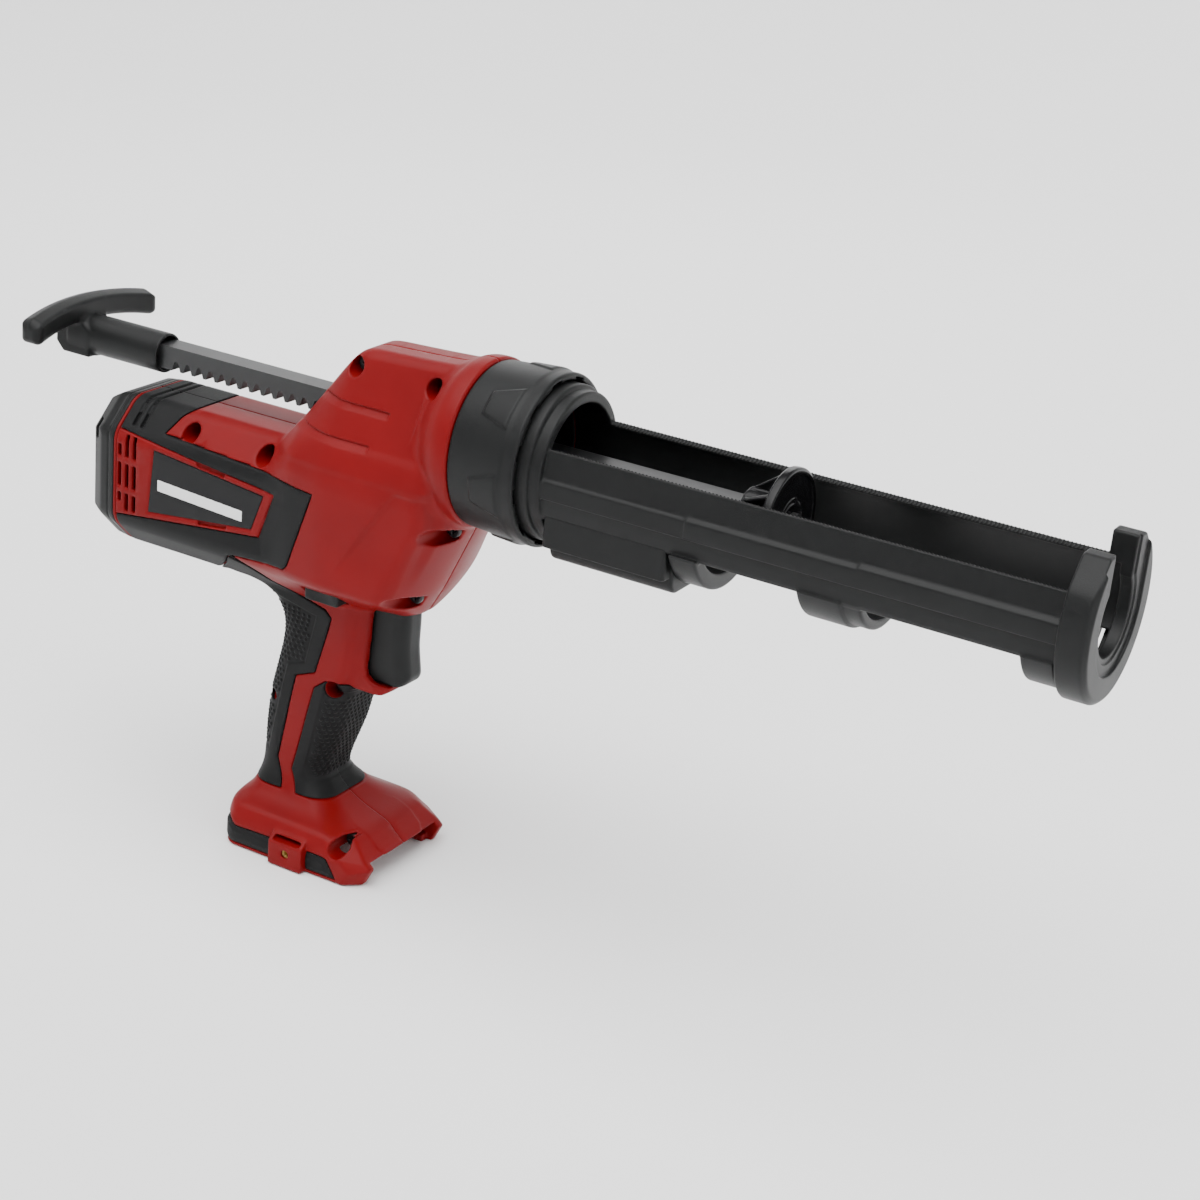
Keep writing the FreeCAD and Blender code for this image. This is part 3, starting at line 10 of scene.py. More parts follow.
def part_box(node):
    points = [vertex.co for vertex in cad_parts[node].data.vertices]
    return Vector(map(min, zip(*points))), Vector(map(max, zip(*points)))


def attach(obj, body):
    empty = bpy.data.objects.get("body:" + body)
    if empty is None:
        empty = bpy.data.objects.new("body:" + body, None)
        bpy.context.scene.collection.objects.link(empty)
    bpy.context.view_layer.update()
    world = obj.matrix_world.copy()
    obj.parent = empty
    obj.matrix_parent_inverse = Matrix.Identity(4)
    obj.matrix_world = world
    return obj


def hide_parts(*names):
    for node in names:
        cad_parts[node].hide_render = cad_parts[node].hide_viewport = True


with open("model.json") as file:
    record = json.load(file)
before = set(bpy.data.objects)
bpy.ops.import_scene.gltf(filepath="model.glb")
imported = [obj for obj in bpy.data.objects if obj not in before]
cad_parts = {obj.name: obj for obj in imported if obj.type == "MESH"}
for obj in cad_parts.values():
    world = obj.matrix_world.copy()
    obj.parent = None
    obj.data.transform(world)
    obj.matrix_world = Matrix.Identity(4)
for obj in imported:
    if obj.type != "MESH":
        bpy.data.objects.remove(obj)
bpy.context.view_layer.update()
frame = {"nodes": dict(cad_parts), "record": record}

# The tool is shaped in millimetres by distance fields, and meshed in metres.
# +X points to the muzzle, +Y to the tool's left and +Z up, as in the frame.
MM = 0.001


def span(node):
    """Lowest and highest corner of a CAD node, in millimetres."""
    low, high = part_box(node)
    return [value / MM for value in low], [value / MM for value in high]


# Places read from the frame
AXIS_Z = (span("rack_rod")[0][2] + span("rack_rod")[1][2]) / 2
ROD_HALF = span("rack_rod")[1][1]
MOTOR_Z = (span("motor")[0][2] + span("motor")[1][2]) / 2
COLLAR_REAR = span("collar")[0][0]
COLLAR_FRONT = span("collar")[1][0]
CAP_FRONT = span("front_cap")[1][0]
CAP_REAR = span("front_cap")[0][0]
BARREL_REAR = span("rear_end_cap")[1][0]
BARREL_CAP = span("rear_end_cap")[0][0]

# Housing sizes
WALL = 2.8
PAD = 1.4
SEAM = 0.08
GROOVE = 0.14
BARREL_Z = MOTOR_Z + 2
BARREL_HALF_W = 31
BARREL_HALF_H = 34
BARREL_CHAMFER = 14
BARREL_FILLET = 3
BARREL_FRONT = 12
CASE_FRONT = COLLAR_REAR - 0.35
SEAT_R = 35.8
NOSE_R = 31
NOSE_BORE_R = 26.5
GRIP_CORNER = 11
# Details of the sides end this far from the middle plane
SIDE_IN = 20

# Edge radii, from the sharpest to the fullest
HAIR = 0.2
THIN = 0.25
FINE = 0.3
LIGHT = 0.4
EVEN = 0.5
SOFT = 0.6
FULL = 0.8
BROAD = 1.0

# A sloped field is scaled by this, to stay under the true distance
STEEP = 0.9


# Distance-field tools

def rmax(a, b, r=0.0):
    """What two fields share, its edge rounded by r."""
    if np.isscalar(r) and r == 0:
        return np.maximum(a, b)
    corner = np.hypot(np.maximum(a + r, 0), np.maximum(b + r, 0))
    return np.minimum(np.maximum(a, b), -r) + corner


def rmin(a, b, r=0.0):
    """Two fields joined, the inner edge filled by r."""
    return -rmax(-a, -b, r)


def both(*fields):
    """What all the fields share, with sharp edges."""
    return functools.reduce(np.maximum, fields)


def either(*fields):
    """All the fields joined, with sharp edges."""
    return functools.reduce(np.minimum, fields)


def ramp(t, low, high):
    """A smooth rise from 0 to 1."""
    s = np.clip((t - low) / (high - low), 0, 1)
    return s * s * (3 - 2 * s)


def block(x, y, z, low, high, r=0.0):
    """A box between two corners, its edges rounded by r."""
    q = [abs(t - (a + b) / 2) - (b - a) / 2 + r for t, a, b in zip((x, y, z), low, high)]
    outside = np.sqrt(np.maximum(q[0], 0) ** 2 + np.maximum(q[1], 0) ** 2 + np.maximum(q[2], 0) ** 2)
    return outside + np.minimum(np.maximum(np.maximum(q[0], q[1]), q[2]), 0) - r


def disc(u, v, radius):
    """A round bar across the u-v plane."""
    return np.hypot(u, v) - radius


def outline(u, v, points):
    """Signed distance to a closed outline in the u-v plane."""
    nearest = None
    sign = None
    for (ax, ay), (bx, by) in zip(points, points[1:] + points[:1]):
        ex, ey = bx - ax, by - ay
        along = np.clip(((u - ax) * ex + (v - ay) * ey) / (ex * ex + ey * ey), 0, 1)
        gap = (u - ax - ex * along) ** 2 + (v - ay - ey * along) ** 2
        nearest = gap if nearest is None else np.minimum(nearest, gap)
        above = v >= ay
        below = v < by
        turn = ex * (v - ay) > ey * (u - ax)
        flip = (above & below & turn) | (~above & ~below & ~turn)
        sign = flip if sign is None else sign ^ flip
    return np.where(sign, -1, 1) * np.sqrt(nearest)


def facet(u, v, a, b):
    """Distance past the line from a to b, positive on its left."""
    length = math.hypot(b[0] - a[0], b[1] - a[1])
    return ((u - a[0]) * (a[1] - b[1]) + (v - a[1]) * (b[0] - a[0])) / length


def profile(t, stations, values, soft=0.0):
    """A value that runs along t through stations, its corners eased."""
    if not soft:
        return np.interp(t, stations, values).astype(np.float32)
    step = soft / 8
    table = np.arange(stations[0] - 4 * soft, stations[-1] + 4 * soft, step)
    kernel = np.exp(-0.5 * (np.arange(-24, 25) / 8) ** 2)
    curve = np.pad(np.interp(table, stations, values), 24, mode="edge")
    return np.interp(t, table, np.convolve(curve, kernel / kernel.sum(), mode="valid")).astype(np.float32)


def surface_net(values, axes):
    """Points and quads on the zero level of a sampled field."""
    shape = np.array(values.shape)
    inside = values < 0
    cells = tuple(shape - 1)
    count = np.zeros(cells, np.int8)
    corners = [(i, j, k) for i in (0, 1) for j in (0, 1) for k in (0, 1)]
    for i, j, k in corners:
        count += inside[i:cells[0] + i, j:cells[1] + j, k:cells[2] + k]
    index = np.argwhere((count > 0) & (count < 8))
    number = np.full(cells, -1, np.int32)
    number[tuple(index.T)] = np.arange(len(index))
    total = np.zeros((len(index), 3))
    hits = np.zeros((len(index), 1))
    for start in corners:
        for axis in range(3):
            if start[axis]:
                continue
            a = values[tuple((index + start).T)]
            end = np.array(start)
            end[axis] = 1
            b = values[tuple((index + end).T)]
            crossed = (a < 0) != (b < 0)
            share = np.where(crossed, a / np.where(crossed, a - b, 1), 0)
            point = np.array(start, float) + share[:, None] * (end - np.array(start))
            total += np.where(crossed[:, None], point, 0)
            hits += crossed[:, None]
    grid_points = index + total / hits
    steps = np.array([axis.ravel()[1] - axis.ravel()[0] for axis in axes])
    origin = np.array([axis.ravel()[0] for axis in axes])
    points = origin + grid_points * steps
    quads = []
    for axis in range(3):
        u, v = (axis + 1) % 3, (axis + 2) % 3
        keep = [slice(1, -1)] * 3
        keep[axis] = slice(0, -1)
        ahead = list(keep)
        ahead[axis] = slice(1, None)
        first, second = inside[tuple(keep)], inside[tuple(ahead)]
        for leaving in (True, False):
            edge = np.argwhere((first & ~second) if leaving else (~first & second))
            edge[:, u] += 1
            edge[:, v] += 1
            ring = []
            for du, dv in ((-1, -1), (0, -1), (0, 0), (-1, 0)):
                cell = edge.copy()
                cell[:, u] += du
                cell[:, v] += dv
                ring.append(number[tuple(cell.T)])
            quads.append(np.stack(ring if leaving else ring[::-1], 1))
    return points, np.concatenate(quads)


def placed(name, data):
    """A new object in the scene."""
    obj = bpy.data.objects.new(name, data)
    bpy.context.scene.collection.objects.link(obj)
    return obj


def add_mesh(name, points, faces):
    """A mesh object from points in millimetres."""
    mesh = bpy.data.meshes.new(name)
    mesh.from_pydata((np.asarray(points) * MM).tolist(), [], [list(map(int, face)) for face in faces])
    mesh.validate()
    mesh.polygons.foreach_set("use_smooth", [True] * len(mesh.polygons))
    return placed(name, mesh)


def thinned(obj, keep):
    """The mesh with fewer faces, kept where it curves."""
    modifier = obj.modifiers.new("thin", "DECIMATE")
    modifier.ratio = keep
    depsgraph = bpy.context.evaluated_depsgraph_get()
    mesh = bpy.data.meshes.new_from_object(obj.evaluated_get(depsgraph))
    obj.modifiers.clear()
    obj.data = mesh
    mesh.polygons.foreach_set("use_smooth", [True] * len(mesh.polygons))
    return obj


def grid(low, high, step):
    """Sample places along the three axes of a box."""
    margin = 2.5 * step
    x, y, z = [np.arange(a - margin, b + margin, step, dtype=np.float32) for a, b in zip(low, high)]
    return x[:, None, None], y[None, :, None], z[None, None, :]


def meshed(name, values, axes, keep):
    """Mesh a sampled field, closed at the box's sides."""
    values = np.array(np.broadcast_to(values, [axis.size for axis in axes]), dtype=np.float32)
    for axis in range(3):
        edge = [slice(None)] * 3
        for end in (0, -1):
            edge[axis] = end
            values[tuple(edge)] = np.maximum(values[tuple(edge)], 0.2)
    points, faces = surface_net(values, axes)
    obj = add_mesh(name, points, faces)
    return thinned(obj, keep) if keep < 1 else obj


def sculpt(name, field, low, high, step, keep=1.0):
    """Mesh a distance field inside a box."""
    axes = grid(low, high, step)
    return meshed(name, field(*axes), axes, keep)


def mirrored(obj, name):
    """The same piece on the tool's other side."""
    mesh = obj.data.copy()
    mesh.transform(Matrix.Scale(-1, 4, (0, 1, 0)))
    mesh.flip_normals()
    return placed(name, mesh)


# Main forms of the housing

def barrel_form(x, y, z):
    """The eight-sided motor housing, endless along X."""
    across = abs(y)
    up = abs(z - BARREL_Z)
    slant = (across + up - (BARREL_HALF_W + BARREL_HALF_H - BARREL_CHAMFER)) / math.sqrt(2)
    return rmax(rmax(across - BARREL_HALF_W, slant, BARREL_FILLET), up - BARREL_HALF_H, BARREL_FILLET)


CASE_X = (-30, -10, 9, 40, 60)
CASE_TOP = (179.5, 207.3, 233.5, 234.8, 236)
CASE_TOP_HALF = (18, 13, 12, 12, 12)
CASE_HALF = (26, 33.4, 36, 36, 36)
CASE_SHOULDER = (172, 186.8, 186.6, 185, 184.8)
CASE_LOW = 134
CASE_UNDER_HALF = (16, 18, 17, 4, 3)
CASE_UNDER = (122, 121, 121, 119, 119)
CHIN_Z = (118, 135, 170, 198)
CHIN_X = (41, 50.5, 66, 66)
CHIN_BOW = 8
SEAT_X = (48, 57, 61, 64, 70)
SEAT_RADII = (25, 32.8, 35.1, 35.8, 35.8)
PANEL_EDGE = ((18, 144.3), (44.2, 184.4))
PANEL_DEEP = 1.2
PANEL_RISE = (-0.4, 2.6)
PANEL_TOP = 184.8
PANEL_TOP_RISE = (-0.4, 1.8)
PANEL_SIDE = (22, 28)
PANEL_FADE = (139, 160)
PANEL_RIM = 3
CASE_EASE = 3
CASE_LONG_EASE = 4
CASE_FILLET = 4
KEEL_FILLET = 2.5
END_FILLET = 3
BROW_LOW = 186
BROW_FILLET = 2
CHIN_FLAT = 4
CHIN_SPAN = 32
CHIN_POWER = 1.7
CHIN_EASE = 2.5
CHIN_FILLET = 5
SEAT_EASE = 0.8
SEAT_LIP = 1.4
SEAT_JOIN = 2.6


def case_form(x, y, z):
    """Hump, flanks and chin of the gear case, and the round seat behind the collar."""
    across = abs(y)
    top, under_half = [profile(x, CASE_X, row, CASE_LONG_EASE) for row in (CASE_TOP, CASE_UNDER_HALF)]
    rows = (CASE_TOP_HALF, CASE_HALF, CASE_SHOULDER, CASE_UNDER)
    top_half, half, shoulder, under = [profile(x, CASE_X, row, CASE_EASE) for row in rows]
    run = half - top_half
    fall = top - shoulder
    slope = ((across - top_half) * fall + (z - top) * run) / np.hypot(run, fall)
    section = rmax(rmax(z - top, slope, CASE_FILLET), across - half, CASE_FILLET)
    keel_run = half - under_half
    keel_fall = CASE_LOW - under
    keel = ((across - half) * keel_fall - (z - CASE_LOW) * keel_run) / np.hypot(keel_run, keel_fall)
    section = rmax(rmax(section, keel, KEEL_FILLET), under - z, END_FILLET)
    brow = rmax(rmax(section, x - CASE_X[-1], END_FILLET), BROW_LOW - z, BROW_FILLET)
    bow = CHIN_BOW * (np.maximum(across - CHIN_FLAT, 0) / CHIN_SPAN) ** CHIN_POWER
    nose = STEEP * (x - profile(z, CHIN_Z, CHIN_X, CHIN_EASE) + bow)
    chin = rmax(rmax(section, nose, CHIN_FILLET), z - CHIN_Z[-1], END_FILLET)
    body = rmax(rmin(brow, chin, BROW_FILLET), CASE_X[0] - x)
    reach = np.hypot(y, z - AXIS_Z)
    seat = STEEP * (reach - profile(x, SEAT_X, SEAT_RADII, SEAT_EASE))
    seat = rmax(rmax(seat, x - CASE_FRONT, SEAT_LIP), SEAT_X[0] - x)
    body = rmin(body, seat, SEAT_JOIN)
    sink = ramp(-facet(x, z, *PANEL_EDGE), *PANEL_RISE) * ramp(PANEL_TOP - z, *PANEL_TOP_RISE)
    sink = sink * ramp(across, *PANEL_SIDE) * ramp(z, *PANEL_FADE) * ramp(reach, SEAT_R, SEAT_R + PANEL_RIM)
    return body + PANEL_DEEP * sink


GRIP_Z = (18, 22, 27, 33, 42, 51, 60, 70, 79, 84, 94, 102, 108, 113, 117,
          120, 123, 127)
GRIP_REAR = (-37, -35, -33.4, -32.4, -31.9, -31.7, -30.8, -29.4, -27.4, -26.2, -24, -23.3, -24.2, -26.6,
             -30.5, -36.5, -46, -60)
GRIP_FRONT = (29, 17, 7, 0.6, 3, 6.4, 9.6, 11.8, 14.6, 17.6, 21, 22, 22.4, 22.6, 22.8, 23, 23,
              23)
GRIP_HALF = (30, 23, 18.6, 16.2, 16, 16.2, 16.6, 17, 17, 17, 17, 17, 17.2, 17.5, 17.5, 17.5,
             17.5, 17.5)
GRIP_SOFT = 2.5
GRIP_ENDS = (5, 131)


def grip_sides(x, y, z):
    """Places along and across the grip, measured from its rounded corner."""
    rear, front, half = [profile(z, GRIP_Z, row, GRIP_SOFT) for row in (GRIP_REAR, GRIP_FRONT, GRIP_HALF)]
    along = abs(x - (rear + front) / 2) - ((front - rear) / 2 - GRIP_CORNER)
    return along, abs(y) - (half - GRIP_CORNER)


def grip_form(x, y, z):
    """The pistol grip, flared out to the foot and back under the motor."""
    along, across = grip_sides(x, y, z)
    outside = np.hypot(np.maximum(along, 0), np.maximum(across, 0))
    bar = STEEP * (outside + np.minimum(both(along, across), 0) - GRIP_CORNER)
    return both(bar, z - GRIP_ENDS[1], GRIP_ENDS[0] - z)


JAW_FRONT = 32.6
JAW = [(12, 82), (29, 82), (JAW_FRONT, 84), (JAW_FRONT, 86.2), (28.6, 86.6), (24.6, 87.6),
       (21.8, 89.6), (20.6, 93), (20.4, 99), (20.8, 123), (12, 123)]
JAW_HALF = 12.5
JAW_CORNER = 7


def jaw_form(x, y, z):
    """The lip under and beside the trigger."""
    plan = rmax(abs(y) - JAW_HALF, x - JAW_FRONT, JAW_CORNER)
    return rmax(outline(x, z, JAW), plan, BROAD)


FOOT_REAR = -36
FOOT_HALF = 34.5
FOOT_EDGE = 11.5
FOOT_LIP = (41, 8)
FOOT_TOP = (29, 18)
FOOT_TOP_HALF = 31
FOOT_HEX = [(12, -9), (22, -16.5), (36, -16.5), (46, -8), (46, 8), (36, 16.5), (22, 16.5),
            (12, 9)]
FOOT_TOE = (37, 0.0)
FOOT_BEVEL = 6
FOOT_CORNER = 8
FOOT_FALL_SHARE = 0.02
FOOT_FILLET = 1.6
HEX_H = 0.35
HEX_FADE = (6, 9)


def foot_form(x, y, z):
    """The foot's plate with its sloped front and bevelled front corners."""
    across = abs(y)
    tilt = facet(across, z, (FOOT_TOP_HALF, FOOT_TOP[1]), (FOOT_HALF, FOOT_EDGE))
    side = rmax(across - FOOT_HALF, tilt, BROAD)
    front = rmax(-facet(x, z, FOOT_LIP, FOOT_TOP), -facet(x, z, FOOT_TOE, FOOT_LIP), BROAD)
    bevel = (side + front + FOOT_BEVEL) / math.sqrt(2)
    shape = rmax(rmax(rmax(side, front), bevel, FULL), FOOT_REAR - x, FOOT_CORNER)
    top = z - FOOT_TOP[1] - FOOT_FALL_SHARE * (FOOT_TOP[0] - x)
    shape = rmax(rmax(shape, top, FOOT_FILLET), -z, SOFT)
    return shape - HEX_H * ramp(-outline(x, y, FOOT_HEX), -0.2, 0.6) * ramp(z, *HEX_FADE)


HOOK_X = (-7.5, 10.5)
HOOK_OUT = 38
HOOK_HOLE = (1.5, 6.5)
NUT_R = 2.7
NUT_ENDS = (30.4, 36.4)
HOOK_IN = 31
HOOK_CROWN = (30, 17.5)
HOOK_HOLE_R = 2
HOOK_HOLE_IN = 30
HOOK_SLOT = ((-5.5, -60, 11.5), (8.5, -31.5, 13.5))


def hook_form(x, y, z):
    """The belt-hook boss on the foot's side."""
    across = abs(y)
    crown = facet(across, z, HOOK_CROWN, (HOOK_OUT, FOOT_EDGE))
    shape = rmax(rmax(across - HOOK_OUT, crown, FULL), -z, SOFT)
    sides = both(HOOK_X[0] - x, x - HOOK_X[1])
    return rmax(rmax(shape, sides, FULL), HOOK_IN - across)


# Side outlines of the soft pieces and plates, X and Z

BAND = [(-102.4, 195), (-60, 199), (-68.6, 191.2), (-75.3, 185.3), (-79, 178.2), (5.4, 174.2),
        (-7.2, 138.6), (-9.4, 136.4), (-39.3, 134.1), (-34, 131.8), (-24, 125), (-24, 118),
        (-102.4, 118)]
FRAME = [(-102.4, 176), (-17.4, 167), (-24.8, 146.2), (-102.4, 137.2)]
LABEL = [(-82, 171.2), (-22.6, 165.2), (-28.6, 148.6), (-84.6, 142.1)]
STRIP = [(-79.4, 158.3), (-33.5, 155.8), (-33.5, 150.9), (-79.4, 153.2)]
PAD_LOW = 26.5
PAD_GAP = 0.1
REAR_PAD = [(-58, 118), (-46, 127.5), (-41, 133.2), (-33.4, 130.8), (-24, 124.6), (-12, 120.2),
            (2.7, 116.6), (5.8, 113.6), (-1.8, 85.8), (-11.7, 81.8), (-20.3, 39.7), (-15.4, PAD_LOW),
            (-60, PAD_LOW), (-60, 110)]
REAR_DOTS = [(-60, 118), (-48, 123), (-24, 117.4), (-1.4, 112.9), (-6.8, 88.9), (-16.1, 85.5),
             (-20.6, 64), (-25.6, 42), (-60, 40)]
FRONT_PAD = [(-1.8, 78.8), (4, 83.4), (14, 83.6), (16.5, 82), (60, 82), (60, PAD_LOW),
             (-7.6, PAD_LOW), (-12.4, 36.1)]
FRONT_DOTS = [(3.6, 79.6), (60, 80), (60, 31.8), (-3.6, 31.8), (-6, 39)]
REAR_HOLES = ((-24.6, 68, 2.4),)
FRONT_HOLES = ((7.5, 80, 4),)
FOOT_PAD = [(-60, 13.5), (-33.4, 13), (-28, 9.6), (-12, 10), (18, 10), (21, 9.6), (26.5, 1.4),
            (-60, 1.4)]
FOOT_PAD_IN = 18
BAND_LOW = 110


def band_outline(x, z):
    """The soft frame round the motor housing's side, clear of the label's frame and the grip panel."""
    whole = both(outline(x, z, BAND), -outline(x, z, FRAME))
    return both(whole, 2 * GROOVE - outline(x, z, REAR_PAD))


# Details cut into the housing

SCREWS = ((10, 226), (50, 226), (-67, 180.5), (-27, 180.5), (60, 166.5), (45, 133.5),
          (7.5, 80), (25, 14.8))
SCREW_SEATS = (6, 6, 12, 12, 9, 11, 7, 18)
SCREW_R = 4
POST_R = 6
VENT_X = (-100.6, -96.6, -92.6)
VENT_HALF = 0.95
VENT_SPANS = (((143.4, 147.6), (150.4, 161.3), (164.4, 169.6)),
              ((139.4, 147.4), (150.2, 161.1), (164, 174.2)),
              ((139.6, 147.2), (150, 160.9), (163.8, 174)))
HUMP_GROOVES = ((33, 211.6), (28, 197.8))
GROOVE_H = 1.3
GROOVE_DEEP = (0.25, 0.9)
GROOVE_IN = 14
CLIP_HALF = 7.6
CLIP_HALF_H = 0.9
CLIP_DEEP = 2
CLIPS = ((-51, 169.7, -0.10), (-49.4, 145.3, 0.12))


def vent_slots(x, y, z):
    """Upright slots in the motor housing's rear side."""
    slots = [rmax(abs(x - place) - VENT_HALF, abs(z - (low + high) / 2) - (high - low) / 2, LIGHT)
             for place, spans in zip(VENT_X, VENT_SPANS) for low, high in spans]
    return both(either(*slots), SIDE_IN - abs(y))


def clip_slots(x, y, z, skin):
    """Slots for the plate's clips, above and below it."""
    slots = [rmax(abs(z - height - lean * (x - place)) - CLIP_HALF_H, abs(x - place) - CLIP_HALF, FINE)
             for place, height, lean in CLIPS]
    return both(either(*slots), -(skin + CLIP_DEEP), SIDE_IN - abs(y))


def hump_grooves(x, y, z, skin):
    """Two shallow steps along each side of the hump, deepest at their upper edge."""
    grooves = []
    for front, height in HUMP_GROOVES:
        gap = rmax(abs(z - height) - GROOVE_H, x - front, LIGHT)
        deep = GROOVE_DEEP[0] + GROOVE_DEEP[1] * np.clip((z - height) / GROOVE_H * 0.5 + 0.5, 0, 1)
        grooves.append(both(gap, -(skin + deep)))
    return both(either(*grooves), GROOVE_IN - abs(y))


def screw_recesses(x, y, z):
    """Round recesses that sink the housing screws from the right."""
    places = zip(SCREWS, SCREW_SEATS)
    return either(*[both(disc(x - sx, z - sz, SCREW_R), y + seat) for (sx, sz), seat in places])


# Room left for what moves or slides in, as lowest and highest corners

ROD_CLEAR = 0.5
ROD_ROOM_FRONT = 95
POCKET_R = 9.8
POCKET_FRONT = -5
SPRING_X = 14
SPRING_Z = 108
SPRING_HALF = 9.5
SPRING_ROOM_R = 5
TRIGGER_ROOM = ((6.4, -9.3, 85.8), (80, 9.3, 122.4))
SWITCH_ROOM = ((-13, -9, 97), (5, 9, 119))
LOCK_ROOM = ((-2.4, -60, 123.2), (15.4, 60, 129.8))
PLUG_ROOM = ((-27, -15, 0.0), (6, 15, 24.6))
SLIDE_TOP = 12
SLIDE_DROP = 2.2
SLIDE_DROP_X = (29, 38)
SLIDE_ROOMS = (((-27, -25, 3.5), (80, 25, SLIDE_TOP)),
               ((-27, -21, -9), (80, 21, SLIDE_TOP)),
               ((34.5, -25, -9), (80, 25, SLIDE_TOP)))


def room_for_works(x, y, z):
    """Openings for the rod, plunger, trigger, lock button and battery."""
    up = z - AXIS_Z
    rod = both(both(abs(y), abs(up)) - ROD_HALF - ROD_CLEAR, x - ROD_ROOM_FRONT)
    pocket = both(disc(y, up, POCKET_R), x - POCKET_FRONT)
    bore = both(disc(y, up, NOSE_BORE_R), CASE_FRONT - x)
    trigger = block(x, y, z, *TRIGGER_ROOM, BROAD)
    spring = both(disc(y, z - SPRING_Z, SPRING_ROOM_R), abs(x - SPRING_X) - SPRING_HALF)
    switch = block(x, y, z, *SWITCH_ROOM)
    lock = block(x, y, z, *LOCK_ROOM, LIGHT)
    slide = either(*[block(x, y, z, *room, LIGHT) for room in SLIDE_ROOMS])
    socket = both(slide, z - SLIDE_TOP + SLIDE_DROP * ramp(x, *SLIDE_DROP_X))
    plug = block(x, y, z, *PLUG_ROOM)
    return either(rod, pocket, bore, trigger, spring, switch, lock, socket, plug)


BODY_JOIN = 3
FOOT_JOIN = 5
JAW_JOIN = 2
PLATE_DEEP = 1.0


def torso(x, y, z):
    """Motor housing and gear case in one."""
    ends = both(BARREL_REAR - x, x - BARREL_FRONT)
    return rmin(rmax(barrel_form(x, y, z), ends, SOFT), case_form(x, y, z), BODY_JOIN)


def body_skin(x, y, z):
    """The housing's outer form, without its fittings."""
    lower = rmin(grip_form(x, y, z), foot_form(x, y, z), FOOT_JOIN)
    lower = rmin(lower, jaw_form(x, y, z), JAW_JOIN)
    return rmin(torso(x, y, z), lower, BODY_JOIN)


def pad_seats(x, y, z, skin):
    """What is sunk in the housing for its soft pieces and plates."""
    across = abs(y)
    bands = both(band_outline(x, z) - GROOVE, BAND_LOW - z)
    grips = either(outline(x, z, REAR_PAD), outline(x, z, FRONT_PAD)) - GROOVE
    soft = both(either(bands, grips), -(skin + PAD))
    hook = hook_form(x, y, z)
    wrap = both(outline(x, z, FOOT_PAD) - GROOVE, -(foot_form(x, y, z) + PAD))
    wrap = both(wrap, FOOT_PAD_IN - across, -(hook - GROOVE))
    plate = both(outline(x, z, LABEL) - GROOVE, -(skin + PLATE_DEEP))
    plate = both(plate, SIDE_IN - across)
    return soft, wrap, plate


NOSE_X = (60, 92.4)
HOLLOW_LOW = 40
HOLLOW_FRONT = 62
PIT_CLEAR = 0.1
PIT_IN = 11


def shell_field(x, y, z):
    """Right-hand half of the housing, before its screw recesses."""
    skin = body_skin(x, y, z)
    nose = both(disc(y, z - AXIS_Z, NOSE_R), NOSE_X[0] - x, x - NOSE_X[1])
    body = either(rmin(skin, hook_form(x, y, z), FULL), nose)
    hollow = both(skin + WALL, HOLLOW_LOW - z, -(nose - WALL), x - HOLLOW_FRONT)
    posts = either(*[disc(x - sx, z - sz, POST_R) for sx, sz in SCREWS])
    body = both(body, -both(hollow, -posts))
    for region in pad_seats(x, y, z, skin):
        body = rmax(body, -region, FINE)
    body = rmax(body, -vent_slots(x, y, z), FINE)
    body = rmax(body, -clip_slots(x, y, z, skin), HAIR)
    body = rmax(body, -hump_grooves(x, y, z, skin), THIN)
    for px, pz, radius in REAR_HOLES + FRONT_HOLES:
        body = rmax(body, -both(disc(x - px, z - pz, radius - PIT_CLEAR), y + PIT_IN), FINE)
    body = rmax(body, -block(x, y, z, *HOOK_SLOT, FINE), HAIR)
    hole_r = np.where(y < -NUT_ENDS[1], HOOK_HOLE_R, NUT_R)
    hole = both(disc(x - HOOK_HOLE[0], z - HOOK_HOLE[1], hole_r), y + HOOK_HOLE_IN)
    body = rmax(body, -hole, FINE)
    body = rmax(body, -room_for_works(x, y, z), EVEN)
    return rmax(body, y + SEAM, FINE)


SHELL_LOW = (BARREL_REAR, -HOOK_OUT, 0.0)
SHELL_HIGH = (NOSE_X[1], 0.0, 240)
SHELL_STEP = 0.6


# Materials

def principled(name, colour, roughness, metallic=0.0, shine=0.2):
    """A plain material and its shader."""
    material = bpy.data.materials.new(name)
    material.use_nodes = True
    shader = material.node_tree.nodes["Principled BSDF"]
    shader.inputs["Base Color"].default_value = (*colour, 1.0)
    shader.inputs["Roughness"].default_value = roughness
    shader.inputs["Metallic"].default_value = metallic
    shader.inputs["Specular IOR Level"].default_value = 0.5 if metallic else shine
    return material, shader


CLOUD_SCALE = 38
CLOUD_DETAIL = 3
GRAIN_DETAIL = 2
TONE_LEVELS = (0.3, 0.7)
RUB_LEVELS = (0.52, 0.62)
PALE_GAIN = 1.5
PALE_LIFT = 0.012
POLISH = (-0.05, 0.07)
BUMP_M = 0.0003


def add_node(material, kind, **values):
    """A shader node with some of its inputs set."""
    node = material.node_tree.nodes.new(kind)
    for name, value in values.items():
        node.inputs[name].default_value = value
    return node


def add_ramp(material, source, low, high):
    """A colour ramp between two levels of a value."""
    node = add_node(material, "ShaderNodeValToRGB")
    for element, level in zip(node.color_ramp.elements, (low, high)):
        element.position = level
    material.node_tree.links.new(source, node.inputs["Fac"])
    return node


